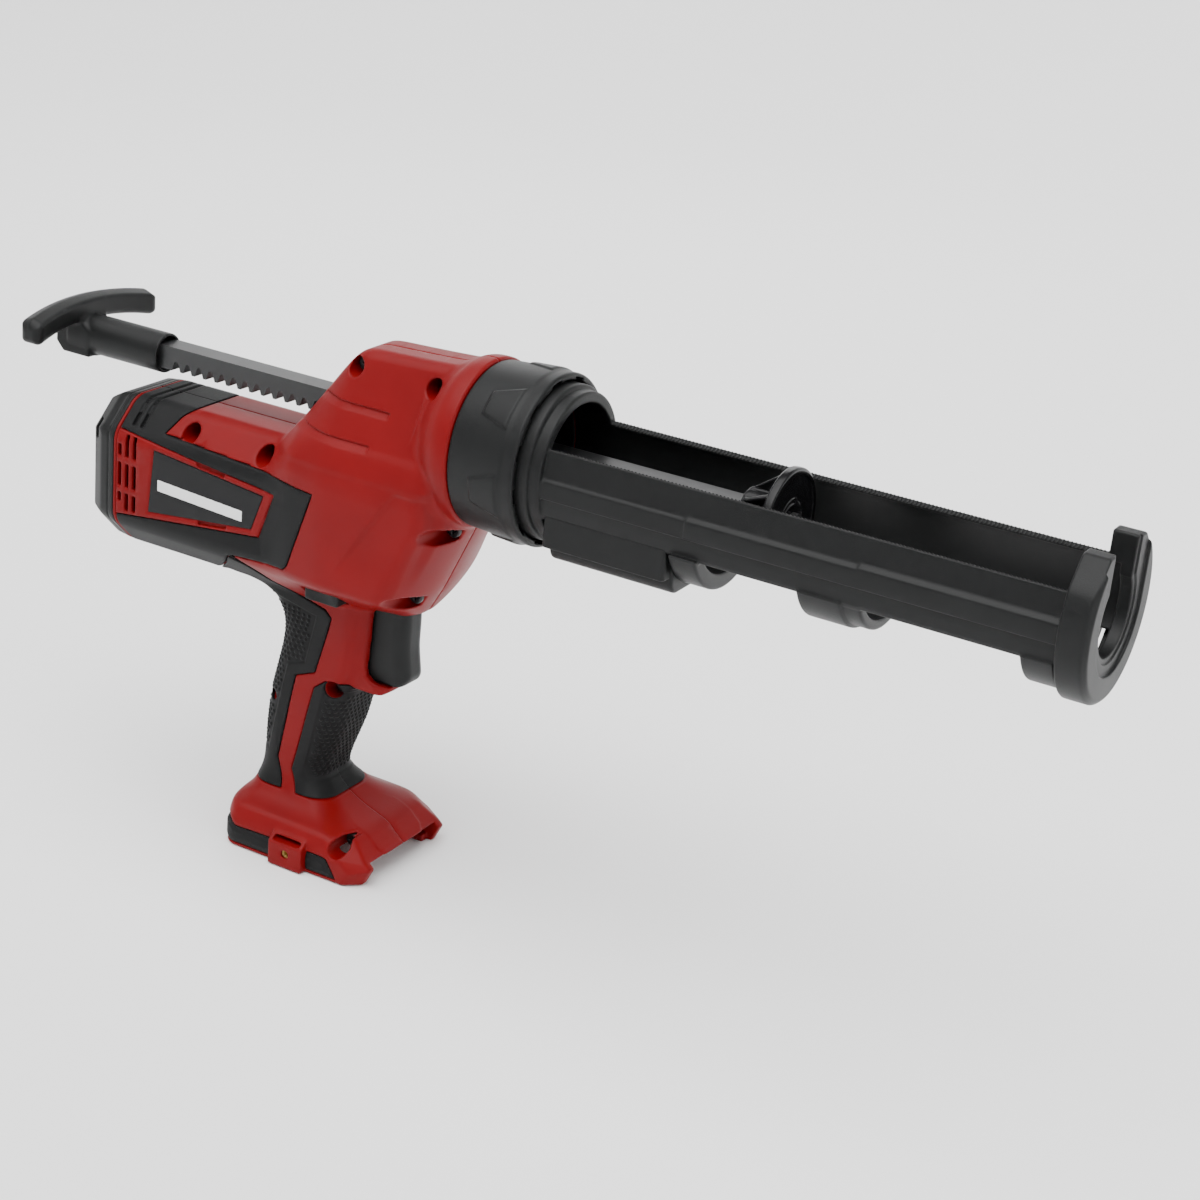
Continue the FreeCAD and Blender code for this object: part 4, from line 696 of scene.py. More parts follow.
def moulded(name, colour, roughness, grain, depth, mottle=0.10, wear=0.35, metallic=0.0, shine=0.2):
    """Moulded plastic, rubber or metal: mottled colour, fine grain and paler rubbed edges."""
    material, shader = principled(name, colour, roughness, metallic, shine)
    link = material.node_tree.links.new
    place = add_node(material, "ShaderNodeTexCoord")
    cloud = add_node(material, "ShaderNodeTexNoise", Scale=CLOUD_SCALE, Detail=CLOUD_DETAIL)
    fine = add_node(material, "ShaderNodeTexNoise", Scale=grain, Detail=GRAIN_DETAIL)
    for texture in (cloud, fine):
        link(place.outputs["Object"], texture.inputs["Vector"])
    tone = add_ramp(material, cloud.outputs["Fac"], *TONE_LEVELS)
    for element, share in zip(tone.color_ramp.elements, (1 - mottle, 1 + mottle)):
        element.color = (*[min(1.0, c * share) for c in colour], 1.0)
    edges = add_node(material, "ShaderNodeNewGeometry")
    rub = add_ramp(material, edges.outputs["Pointiness"], *RUB_LEVELS)
    amount = add_node(material, "ShaderNodeMath")
    amount.operation = "MULTIPLY"
    amount.inputs[1].default_value = wear
    link(rub.outputs["Color"], amount.inputs[0])
    blend = add_node(material, "ShaderNodeMix")
    blend.data_type = "RGBA"
    blend.inputs["B"].default_value = (*[min(1.0, c * PALE_GAIN + PALE_LIFT) for c in colour], 1.0)
    link(amount.outputs[0], blend.inputs["Factor"])
    link(tone.outputs["Color"], blend.inputs["A"])
    link(blend.outputs["Result"], shader.inputs["Base Color"])
    levels = {"To Min": roughness + POLISH[0], "To Max": roughness + POLISH[1]}
    polish = add_node(material, "ShaderNodeMapRange", **levels)
    link(cloud.outputs["Fac"], polish.inputs["Value"])
    link(polish.outputs["Result"], shader.inputs["Roughness"])
    bump = add_node(material, "ShaderNodeBump", Strength=depth, Distance=BUMP_M)
    link(fine.outputs["Fac"], bump.inputs["Height"])
    link(bump.outputs["Normal"], shader.inputs["Normal"])
    return material


# Colour, roughness, grain, its depth, mottle, wear, metallic and shine
FINISHES = {
    "red_plastic": ((0.155, 0.0030, 0.0040), 0.40, 2600, 0.16, 0.06, 0.25, 0.0, 0.12),
    "black_plastic": ((0.0066, 0.0070, 0.0071), 0.42, 2400, 0.22, 0.12, 0.45, 0.0, 0.18),
    "soft_rubber": ((0.0058, 0.0060, 0.0062), 0.56, 2200, 0.25, 0.12, 0.30, 0.0, 0.15),
    "gloss_black": ((0.004, 0.004, 0.0045), 0.20, 900, 0.03, 0.08, 0.15, 0.0, 0.2),
    "black_steel": ((0.013, 0.0135, 0.014), 0.38, 1500, 0.12, 0.16, 0.60, 0.35),
    "bright_steel": ((0.55, 0.56, 0.57), 0.28, 1200, 0.06, 0.06, 0.30, 1.0),
    "gear_steel": ((0.32, 0.32, 0.33), 0.34, 1200, 0.08, 0.10, 0.40, 1.0),
    "sinter_bronze": ((0.38, 0.24, 0.10), 0.45, 1800, 0.18, 0.12, 0.30, 1.0),
    "brass": ((0.62, 0.45, 0.16), 0.30, 1200, 0.06, 0.08, 0.30, 1.0),
    "gearbox_alloy": ((0.40, 0.41, 0.42), 0.42, 1500, 0.15, 0.08, 0.30, 1.0),
    "board_green": ((0.010, 0.075, 0.030), 0.40, 1500, 0.06, 0.10, 0.10),
}
MATERIALS = {slot: moulded(slot, *finish) for slot, finish in FINISHES.items()}
MOTOR_CAN = moulded("motor_can", (0.035, 0.036, 0.038), 0.5, 1500, 0.12, 0.12, 0.30, 0.8)
PAPER = moulded("blank_strip", (0.80, 0.80, 0.79), 0.55, 1800, 0.05, 0.03, 0.0)


def finish_as(obj, slot, body, *nodes):
    """Give a new piece its material, body and the nodes that it stands for."""
    obj.data.materials.clear()
    obj.data.materials.append(MATERIALS[slot])
    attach(obj, body)
    if nodes:
        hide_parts(*nodes)
    return obj


def dress_nodes():
    """Every CAD node takes its slot's finish."""
    for row in frame["record"]["subparts"]:
        mesh = frame["nodes"][row["node"]].data
        mesh.materials.clear()
        mesh.materials.append(MOTOR_CAN if row["node"] == "motor" else MATERIALS[row["material_slot"]])


# Pieces of the housing

def make_shells():
    """Both halves of the red housing; the screws go in from the right."""
    axes = grid(SHELL_LOW, SHELL_HIGH, SHELL_STEP)
    plain = shell_field(*axes)
    right = meshed("right_housing", rmax(plain, -screw_recesses(*axes), SOFT), axes, 0.45)
    whole = meshed("housing_half", plain, axes, 0.45)
    left = mirrored(whole, "left_housing")
    bpy.data.objects.remove(whole)
    finish_as(right, "red_plastic", "housing", "right_shell")
    finish_as(left, "red_plastic", "housing", "left_shell")


BAND_FALL_X = (-75, -30)
BAND_FALL = (0.25, 1.0)
BAND_RIM = 0.6
BAND_SLOPE = 7
BAND_SINK = 0.7
BAND_PROUD = 0.1
BAND_ROWS = (-96.4, -92)
BAND_ROW_HALF = 0.9
BAND_ROW_LOW = 177.8
BAND_ROW_TURN = 182.6
BAND_ROW_DEEP = (1.0, 0.7)


def band_field(x, y, z):
    """Right-hand soft frame: a flat rim that falls in towards the label's frame."""
    skin = torso(x, y, z)
    fall = profile(x, BAND_FALL_X, BAND_FALL)
    rise = np.clip((outline(x, z, FRAME) - BAND_RIM) / BAND_SLOPE, 0, 1) - BAND_SINK
    shape = rmax(skin - fall * rise - BAND_PROUD, band_outline(x, z) + GROOVE, SOFT)
    shape = both(shape, -(skin + PAD))
    rows = either(*[abs(x - row) for row in BAND_ROWS]) - BAND_ROW_HALF
    deep = np.where(z < BAND_ROW_TURN, *BAND_ROW_DEEP)
    shape = rmax(shape, -both(rows, BAND_ROW_LOW - z, -(skin + deep)), HAIR)
    return rmax(both(shape, BAND_LOW - z), y + SEAM, HAIR)


DOT_PITCH = 2.7
DOT_R = 1.05
DOT_RINGS = ((1.0, -0.15), (0.72, 0.26), (0.38, 0.46), (0.0, 0.54))
DOT_SIDES = 10
PAD_PROUD = 0.25
FIELD_SUNK = 0.4
DOT_SPAN = (28, 121)
DOT_SPAN_STEP = 0.05
DOT_COLUMNS = 16
DOT_NARROW = 9
DOT_EDGE = 0.7
DOT_HOLE = 0.5
CROWDED_SHARE = 0.8
SETTLE_TURNS = 4


def section_point(z, run, rear):
    """A place round the grip's section, from its middle plane towards the right."""
    ends = [profile(z, GRIP_Z, row, GRIP_SOFT) for row in (GRIP_REAR, GRIP_FRONT)]
    half = profile(z, GRIP_Z, GRIP_HALF, GRIP_SOFT)
    flat = half - GRIP_CORNER
    turn = np.clip((run - flat) / GRIP_CORNER, 0, math.pi / 2)
    past = np.maximum(run - flat - GRIP_CORNER * math.pi / 2, 0)
    inward = GRIP_CORNER * (1 - np.cos(turn)) + past
    x = ends[0] + inward if rear else ends[1] - inward
    return x, -np.minimum(run, flat) - GRIP_CORNER * np.sin(turn)


def dot_rows(rear):
    """Rows of dot places, spaced along the grip's edge as seen from the side."""
    heights = np.arange(*DOT_SPAN, DOT_SPAN_STEP)
    edge = profile(heights, GRIP_Z, GRIP_REAR if rear else GRIP_FRONT, GRIP_SOFT)
    length = np.concatenate([[0.0], np.cumsum(np.hypot(np.diff(edge), np.diff(heights)))])
    rise = DOT_PITCH * math.sqrt(0.75)
    places = []
    last = 0.0
    for number, along in enumerate(np.arange(0.0, length[-1], rise)):
        z = np.interp(along, length, heights)
        runs = (np.arange(DOT_COLUMNS) + (0.5 if number % 2 else 0.0)) * DOT_PITCH
        if z - last < CROWDED_SHARE * rise:
            runs = runs[runs < DOT_NARROW]
        else:
            last = z
        x, y = section_point(z, runs, rear)
        places.append(np.stack([x, y, np.full_like(runs, z)], 1))
    return np.concatenate(places)


def slope_of(points):
    """The housing form's value and slope at scattered points."""
    small = 0.1
    value = body_skin(*points.T)
    grown = [body_skin(*(points + small * np.eye(3)[axis]).T) for axis in range(3)]
    return value, (np.stack(grown, 1) - value[:, None]) / small


def grip_dots(name, rear, dot_points, holes, middle):
    """Small domes standing on a right-hand grip panel, or on the middle line."""
    points = dot_rows(rear)
    points = points[(points[:, 1] > -0.1) == middle]
    for turn in range(SETTLE_TURNS):
        value, slope = slope_of(points)
        move = (value - PAD_PROUD + FIELD_SUNK) / (slope ** 2).sum(1)
        points = points - move[:, None] * slope
    keep = outline(points[:, 0], points[:, 2], dot_points) < -DOT_R - DOT_EDGE
    for hx, hz, radius in holes:
        keep &= np.hypot(points[:, 0] - hx, points[:, 2] - hz) > radius + DOT_R + DOT_HOLE
    points = points[keep]
    value, normal = slope_of(points)
    normal = normal / np.linalg.norm(normal, axis=1)[:, None]
    side = np.cross(normal, (0.0, 0.0, 1.0))
    side = side / np.linalg.norm(side, axis=1)[:, None]
    rise = np.cross(side, normal)
    corners = []
    for share, height in DOT_RINGS:
        for number in range(DOT_SIDES):
            angle = 2 * math.pi * number / DOT_SIDES
            reach = DOT_R * share
            corners.append(points + reach * math.cos(angle) * side + reach * math.sin(angle) * rise
                           + height * normal)
    corners = np.stack(corners, 1)
    faces = []
    for dot in range(len(points)):
        for ring in range(len(DOT_RINGS) - 1):
            first = (dot * len(DOT_RINGS) + ring) * DOT_SIDES
            for number in range(DOT_SIDES):
                after = (number + 1) % DOT_SIDES
                above = first + DOT_SIDES
                faces.append((first + number, first + after, above + after, above + number))
    return add_mesh(name, corners.reshape(-1, 3), faces)


def pad_field(shape_points, dot_points, holes):
    """A right-hand grip panel: a smooth border round a sunk field."""
    def field(x, y, z):
        skin = body_skin(x, y, z)
        inner = outline(x, z, dot_points)
        face = skin - PAD_PROUD + FIELD_SUNK * ramp(-inner, 0.0, DOT_EDGE)
        shape = rmax(face, outline(x, z, shape_points) + GROOVE, SOFT)
        shape = both(shape, -(skin + PAD))
        shape = rmax(shape, PAD_LOW + PAD_GAP - z, LIGHT)
        for hx, hz, radius in holes:
            shape = rmax(shape, -disc(x - hx, z - hz, radius), LIGHT)
        return both(shape, y)
    return field


def foot_pad_field(x, y, z):
    """Right-hand soft insert round the foot's rear corner and side."""
    foot = foot_form(x, y, z)
    edge = outline(x, z, FOOT_PAD) + GROOVE
    shape = rmax(foot + 0.1 - 0.6 * np.clip(-edge / 2.5, 0, 1), edge, EVEN)
    shape = both(shape, -(foot + PAD))
    shape = rmax(shape, 18.2 - abs(y), LIGHT)
    return rmax(shape, -(hook_form(x, y, z) - GROOVE), FINE)


LABEL_SUNK = 0.35
STRIP_SUNK = (0.2, 0.6)


def label_field(x, y, z):
    """Right-hand bare plate."""
    skin = torso(x, y, z)
    shape = both(skin + LABEL_SUNK, -(skin + PLATE_DEEP))
    return rmax(both(shape, SIDE_IN - abs(y)), outline(x, z, LABEL) + GROOVE, FINE)


def strip_field(x, y, z):
    """The plate's pale blank strip."""
    skin = torso(x, y, z)
    shape = both(skin + STRIP_SUNK[0], -(skin + STRIP_SUNK[1]))
    return both(shape, SIDE_IN - abs(y), outline(x, z, STRIP))


COVER_FACET = 8
COVER_DRAWN = (6, 1.3, 0.0)
COVER_FILLET = 2.2
COVER_GAP = 0.12
COVER_SLOT_Z = 172
COVER_SLOT = 4
COVER_STEP = 3.4
COVER_STEP_HALF = 0.35


def end_cap_field(x, y, z):
    """The rear cover, drawn in towards its end in two facets."""
    drawn = profile(x, (BARREL_CAP, BARREL_CAP + COVER_FACET, BARREL_REAR), COVER_DRAWN, 0.6)
    form = barrel_form(x, y, z) + drawn
    shape = rmax(form, BARREL_CAP - x, COVER_FILLET)
    shape = both(shape, x - BARREL_REAR + COVER_GAP)
    slot = rmax(abs(z - COVER_SLOT_Z) - COVER_SLOT, abs(x - BARREL_CAP - COVER_SLOT) - 1.0, LIGHT)
    shape = rmax(shape, -both(slot, SIDE_IN - abs(y)), FINE)
    step = both(abs(x - BARREL_REAR + COVER_STEP) - COVER_STEP_HALF, -(form + 0.5))
    return rmax(shape, -step, HAIR)


SCREW_HEAD_R = 3.2
SCREW_HEAD = 2.4
SHANK = 8
SHANK_R = 1.9
CROSS_HALF = 0.45
CROSS_REACH = 1.7
CROSS_FLOOR = 1.0
SCREW_BOX = 3.4


def screw_field(x, y, z):
    """A cross-head screw at the origin, its head towards the tool's right."""
    reach = np.hypot(x, z)
    head = rmax(reach - SCREW_HEAD_R, both(-SCREW_HEAD - y, y), SOFT)
    cross = either(*[both(abs(a) - CROSS_HALF, abs(b) - CROSS_REACH) for a, b in ((x, z), (z, x))])
    head = rmax(head, -both(cross, y + CROSS_FLOOR), 0.1)
    shank = both(reach - SHANK_R, -0.5 - y, y - SHANK)
    return either(head, shank)


def make_screws():
    """The housing screws, all alike, each at the bottom of its recess."""
    low, high = (-SCREW_BOX, -SCREW_HEAD, -SCREW_BOX), (SCREW_BOX, SHANK, SCREW_BOX)
    one = sculpt("screw", screw_field, low, high, 0.2, 0.4)
    points = np.array([vertex.co for vertex in one.data.vertices]) / MM
    faces = [list(face.vertices) for face in one.data.polygons]
    bpy.data.objects.remove(one)
    all_points = []
    all_faces = []
    for (sx, sz), seat in zip(SCREWS, SCREW_SEATS):
        first = len(all_points) * len(points)
        all_points.append(points + (sx, -seat, sz))
        all_faces += [[first + corner for corner in face] for face in faces]
    screws = add_mesh("screw_set", np.concatenate(all_points), all_faces)
    finish_as(screws, "black_steel", "housing", "housing_screws")


FIT_GAP = 0.05
LINER_WALL = 0.9
LINER_FRONT = 92.2
BULKHEAD = 1.0
BULKHEAD_R = 12
THREAD_R = 1.55
THREAD_H = 0.18
THREAD_PITCH = 0.8


def liner_field(x, y, z):
    """The dark sleeve and bulkhead inside the housing's nose."""
    reach = np.hypot(y, z - AXIS_Z)
    outer = reach - NOSE_BORE_R + FIT_GAP
    sleeve = both(outer, NOSE_BORE_R - LINER_WALL - reach, x - LINER_FRONT)
    wall = both(outer, x - CASE_FRONT - BULKHEAD, BULKHEAD_R - reach)
    return both(either(sleeve, wall), CASE_FRONT + FIT_GAP - x)


def nut_field(x, y, z):
    """Threaded inserts for the belt hook, on both sides."""
    across = abs(y)
    reach = np.hypot(x - HOOK_HOLE[0], z - HOOK_HOLE[1])
    thread = THREAD_R + THREAD_H * np.cos(2 * math.pi * across / THREAD_PITCH)
    shape = rmax(reach - NUT_R + FIT_GAP, thread - reach, 0.1)
    return both(shape, NUT_ENDS[0] - across, across - NUT_ENDS[1])


def add_pieces(jobs):
    """Sculpt a list of single pieces and finish each."""
    for name, field, low, high, step, keep, *finish in jobs:
        finish_as(sculpt(name, field, low, high, step, keep), *finish)


def add_dots(name, rear, dot_points, holes):
    """The domes of a grip panel on both sides and on the middle line."""
    right = grip_dots("right_grip_" + name + "_dots", rear, dot_points, holes, False)
    left = mirrored(right, "left_grip_" + name + "_dots")
    middle = grip_dots("middle_grip_" + name + "_dots", rear, dot_points, holes, True)
    for piece in (right, left, middle):
        finish_as(piece, "soft_rubber", "housing")


def make_skins():
    """Soft pieces and plates on both sides, the rear cover and what lines the housing."""
    rear = pad_field(REAR_PAD, REAR_DOTS, REAR_HOLES)
    front = pad_field(FRONT_PAD, FRONT_DOTS, FRONT_HOLES)
    pairs = (
        ("motor_band", band_field, (-103, -36, 117), (7, 0.0, 191), 0.5, 0.5, "soft_rubber"),
        ("grip_rear_pad", rear, (-62, -29, 26), (8, 0.0, 136), 0.40, 0.5, "soft_rubber"),
        ("grip_front_pad", front, (-16, -24, 26), (20, 0.0, 86), 0.35, 0.5, "soft_rubber"),
        ("foot_pad", foot_pad_field, (-38, -36, 0.0), (30, -17, 15), 0.40, 0.6, "soft_rubber"),
        ("label_plate", label_field, (-87, -33, 140), (-20, -29, 173), 0.30, 0.3, "gloss_black"),
    )
    for name, field, low, high, step, keep, slot in pairs:
        right = sculpt("right_" + name + "_skin", field, low, high, step, keep)
        left = mirrored(right, "left_" + name + "_skin")
        finish_as(right, slot, "housing", "right_" + name)
        finish_as(left, slot, "housing", "left_" + name)
    add_dots("rear", True, REAR_DOTS, REAR_HOLES)
    add_dots("front", False, FRONT_DOTS, FRONT_HOLES)
    strip = sculpt("right_blank_strip", strip_field, (-81, -33, 149), (-31, -29, 160), 0.25, 0.2)
    for obj in (strip, mirrored(strip, "left_blank_strip")):
        finish_as(obj, "gloss_black", "housing")
        obj.data.materials[0] = PAPER
    add_pieces((
        ("rear_cover", end_cap_field, (BARREL_CAP, -32, 119), (BARREL_REAR, 32, 190), 0.5, 0.5,
         "black_plastic", "housing", "rear_end_cap"),
        ("neck_liner", liner_field, (CASE_FRONT, -27, AXIS_Z - 27), (NOSE_X[1], 27, AXIS_Z + 27),
         0.5, 0.4, "black_plastic", "housing"),
        ("hook_nuts", nut_field, (-1.5, -37, 3.5), (4.5, 37, 9.5), 0.2, 0.4,
         "brass", "housing", "belt_hook_inserts"),
    ))


# Collar, cradle and cap

NECK_R = 32.5
NECK_STEP_R = 30.6
NECK_STEP = 105.3
ARCH_FRONT = 110
FLANGE = (92.75, 96.55)
FLANGE_R = 34
BORE_R = 26
COLLAR_RADII = (34.8, 36.6)
RAISED_X = (80, 93.6)
RAISED_HALF = (5.6, 10.4)
RAISED_H = 0.75
RAISED_TURN = 43.5
DEGREE = math.radians(1.0)
WINDOW_TURN = 11.5


def turn_of(y, up):
    """Degrees round the cartridge axis, from the top towards the tool's right."""
    return np.degrees(np.arctan2(-y, up))


def repeated(turn, first, step):
    """Degrees from the nearest of a ring of places."""
    return np.mod(turn - first + step / 2, step) - step / 2


def collar_field(x, y, z):
    """The coupling ring: raised tapering pads, a plain front band and windows in its lip."""
    up = z - AXIS_Z
    reach = np.hypot(y, up)
    turn = turn_of(y, up)
    skin = profile(x, (COLLAR_REAR, 94, 95.2, COLLAR_FRONT), (COLLAR_RADII[0], 36.3, 36, 36.2), 0.4)
    aside = abs(repeated(turn, RAISED_TURN, 60)) * DEGREE * COLLAR_RADII[1]
    half = profile(x, RAISED_X, RAISED_HALF)
    edge = both(aside - half, RAISED_X[0] - x, x - RAISED_X[1])
    outer = reach - skin - RAISED_H * ramp(-edge, -0.2, 1.1)
    shape = rmax(rmax(outer, x - COLLAR_FRONT, 1.5), COLLAR_REAR - x, EVEN)
    bore = profile(x, (92.3, 92.5, 96.8, 97), (NOSE_R + 0.35, FLANGE_R + 0.35, FLANGE_R + 0.35, 33.3))
    shape = rmax(shape, bore - reach, FINE)
    window = abs(repeated(turn, WINDOW_TURN, 30)) * DEGREE * NECK_R - 3.1
    window = both(window, reach - 34.5, 98 - x)
    return rmax(shape, -window, HAIR)


RAIL_TOP = 13.8
RAIL_LOW = -15.2
RAIL_FRONT = 330
HOOPS = ((168, 180, 32.5), (222, 240.5, 31.3), (240, 248, 30), (311, 324, 31.3))
HOOP_SLOTS = ((244.2, 24), (317.6, 20))
RIB_PITCH = 1.6


def rail_bevel(out, up):
    """Distance above the rails' sloping top."""
    return (up - RAIL_TOP + 0.3 + 0.55 * (25 - out)) / 1.14


def rail_form(x, y, up):
    """Both side rails: two facets with a ridge between them that steps out twice."""
    out = abs(y)
    upper = facet(out, up, (25.5, RAIL_TOP), (28.5, 1.0))
    lower = facet(out, up, (28.6, -5), (26.5, RAIL_LOW))
    base = rmax(rmax(upper, lower, BROAD), out - 28.6, BROAD)
    base = rmax(rmax(base, up - RAIL_TOP, EVEN), RAIL_LOW - up, EVEN)
    grow = profile(x, (173.6, 174.4, 245.6, 246.4), (0.0, 0.6, 0.6, 1.1))
    lift = 2.3 + grow
    crown = (up - lift + 0.9 * (out - 28.4)) / 1.35
    ridge = rmax(rmax(out - 29.4 - grow, crown, 0.35), -5.9 - up, EVEN)
    rail = rmin(base, ridge, 0.35)
    bevel = rail_bevel(out, up)
    return rmax(rail, bevel, LIGHT)


def cradle_field(x, y, z):
    """Neck, rails and the arcs that join them below."""
    up = z - AXIS_Z
    reach = np.hypot(y, up)
    rails = rail_form(x, y, up)
    rails = both(rails, FLANGE[0] - x, x - RAIL_FRONT)
    rails = both(rails, either(reach - 30, CAP_REAR - 0.2 - x))
    neck = rmax(reach - NECK_R, x - NECK_STEP, 1.3)
    step = rmax(reach - NECK_STEP_R, x - ARCH_FRONT, 0.9)
    flange = both(reach - FLANGE_R, x - FLANGE[1])
    shape = rmin(rmin(neck, step, SOFT), flange)
    shape = both(shape, FLANGE[0] - x)
    shape = rmin(shape, rails, LIGHT)
    below = up - RAIL_LOW - 1.4
    for rear, front, radius in HOOPS:
        arc = rmax(reach - radius, abs(x - (rear + front) / 2) - (front - rear) / 2, BROAD)
        shape = rmin(shape, both(arc, below), EVEN)
    turn = abs(abs(turn_of(y, up)) - 180)
    for place, half in HOOP_SLOTS:
        slot = both(abs(x - place) - 0.45, 29 - reach)
        slot = both(slot, (turn - half) * 0.5)
        shape = rmax(shape, -slot, 0.15)
    return rmax(shape, BORE_R - reach, SOFT)


def rib_field(x, y, z):
    """Fine ribs along the rails' sloping top."""
    out = abs(y)
    up = z - AXIS_Z
    bevel = rail_bevel(out, up)
    wave = 0.28 * np.cos(2 * math.pi * x / RIB_PITCH)
    shape = both(bevel - 0.12 - wave, -(bevel + 0.8))
    shape = both(shape, 22.9 - out, out - 25)
    return both(shape, 112 - x, x - CAP_REAR + 0.4)


PAD_ENDS = (110.4, 167)


def cradle_pad_field(x, y, z):
    """The block under the cradle: flat sides over a narrower round keel."""
    up = z - AXIS_Z
    out = abs(y)
    middle = (PAD_ENDS[0] + PAD_ENDS[1]) / 2
    half = (PAD_ENDS[1] - PAD_ENDS[0]) / 2
    side = rmax(out - 27, abs(x - middle) - half + 0.6, 1.6)
    side = rmax(rmax(side, -26.6 - up, SOFT), up + 13, EVEN)
    keel = rmax(out - 21.5, -34 - up, 6)
    keel = rmax(keel, abs(x - middle - 0.8) - half + 0.4, 1.2)
    keel = both(keel, up + 16)
    shape = rmin(side, keel, 0.7)
    return rmax(shape, BORE_R - np.hypot(y, up), FINE)


CAP_R = 34.1
CAP_PLATE = 7
CAP_SKIRT_R = 30.2
CAP_TOP = 26.8
CAP_SLOT_HALF = 12.4
CAP_OPENING_R = 16.5
CAP_STEP_R = 23.2
CAP_STEP = 1.2
CAP_RIM = 2.2
CAP_RIM_DEEP = 0.7
CAP_BEVEL = 1.9
CAP_CROWN = 19.5
CAP_INSIDE_TOP = 14.6
CAP_WINDOW = (2.6, 2.3, 9)


def front_cap_field(x, y, z):
    """The open end plate with its skirt, arms and stepped slot."""
    up = z - AXIS_Z
    out = abs(y)
    reach = np.hypot(y, up)
    plate_rear = CAP_FRONT - CAP_PLATE
    bevel = (reach - CAP_R + x - CAP_FRONT + CAP_BEVEL) / math.sqrt(2)
    disc_form = rmax(rmax(reach - CAP_R, x - CAP_FRONT, HAIR), bevel, EVEN)
    disc_form = rmax(disc_form, CAP_REAR - x, 0.9)
    inside = both(reach - CAP_SKIRT_R, x - plate_rear)
    inside = both(inside, up - CAP_INSIDE_TOP)
    shape = rmax(disc_form, -inside, LIGHT)
    crown = (out - CAP_CROWN + up - CAP_TOP) / math.sqrt(2)
    shape = rmax(rmax(shape, up - CAP_TOP, FULL), crown, FULL)
    slant = (up - CAP_TOP + 2.6 + 0.8 * (x - CAP_FRONT)) / 1.28
    shape = rmax(shape, slant - 1.0, SOFT)
    slot = np.where(up > 0, out - CAP_SLOT_HALF, 99)
    slot = either(slot, reach - CAP_OPENING_R)
    wide = np.where(up > 0, either(out, reach), reach)
    shape = rmax(shape, -slot, BROAD)
    step = both(wide - CAP_STEP_R, CAP_FRONT - CAP_STEP - x)
    shape = rmax(shape, -step, 0.35)
    rim = both(slot - CAP_RIM, CAP_FRONT - CAP_STEP - CAP_RIM_DEEP - x)
    shape = rmax(shape, -rim, FINE)
    window = both(abs(x - plate_rear + CAP_WINDOW[0]) - CAP_WINDOW[1], out - CAP_WINDOW[2])
    window = both(window, up)
    return rmax(shape, -window, FINE)


def make_cradle():
    """Collar, cradle, block and cap."""
    ribs = sculpt("right_rail_ribs", rib_field, (111.5, -25.2, AXIS_Z + 11),
                  (CAP_REAR, -22.7, AXIS_Z + 15), 0.2, 0.4)
    for obj in (ribs, mirrored(ribs, "left_rail_ribs")):
        finish_as(obj, "black_plastic", "carriage")
    add_pieces((
        ("collar_ring", collar_field, (COLLAR_REAR, -38, AXIS_Z - 38),
         (COLLAR_FRONT, 38, AXIS_Z + 38), 0.5, 0.6, "black_plastic", "collar", "collar"),
        ("cradle_rails", cradle_field, (FLANGE[0], -34.5, AXIS_Z - 34.5),
         (RAIL_FRONT, 34.5, AXIS_Z + 34.5), 0.5, 0.35, "black_plastic", "carriage", "cradle"),
        ("cradle_block", cradle_pad_field, (PAD_ENDS[0], -28, AXIS_Z - 35),
         (PAD_ENDS[1] + 1.5, 28, AXIS_Z - 12), 0.5, 0.5, "black_plastic", "carriage", "cradle_pad"),
        ("cap_plate", front_cap_field, (CAP_REAR, -35, AXIS_Z - 35),
         (CAP_FRONT, 35, AXIS_Z + 28), 0.4, 0.6, "black_plastic", "carriage", "front_cap"),
    ))


# Plunger, pull handle, trigger and lock button

PLUNGER_R = 22.5
PLUNGER_X = (186, 200.5, 204.5)
HUB_R = 11


def plunger_field(x, y, z):
    """The pusher disc with gussets behind it and a ring round its screw."""
    up = z - AXIS_Z
    reach = np.hypot(y, up)
    plate = rmax(reach - PLUNGER_R, abs(x - 202.5) - 2, 0.9)
    hub = rmax(reach - HUB_R, both(PLUNGER_X[0] - x, x - PLUNGER_X[1]), SOFT)
    turn = repeated(turn_of(y, up), 0.0, 45) * DEGREE
    aside = abs(reach * np.sin(turn)) - 1.2
    slope = facet(x, reach, (PLUNGER_X[0] + 1.0, HUB_R), (PLUNGER_X[1], PLUNGER_R - 2))
    gusset = rmax(rmax(aside, slope, LIGHT), x - PLUNGER_X[1])
    gusset = both(gusset, PLUNGER_X[0] + 1.0 - x, HUB_R - 4 - reach)
    shape = rmin(rmin(plate, hub, BROAD), gusset, FULL)
    ring = both(abs(reach - 9) - 0.7, PLUNGER_X[2] - 0.6 - x)
    shape = rmax(shape, -ring, HAIR)
    dish = both(reach - 19.6, PLUNGER_X[2] - 0.5 - x)
    dish = both(dish, 10.6 - reach)
    shape = rmax(shape, -dish, 0.35)
    socket = both(both(abs(y), abs(up)) - ROD_HALF, x - 190)
    hole = both(reach - 2, 189 - x)
    return both(shape, -socket, -hole)


BAR_X = -148.5
BAR_HALF = 40
BLOCK = [(-157, 199.5), (-152.8, 195.2), (-138, 195.2), (-138, 207), (-145.2, 213.6), (-157, 213.6)]


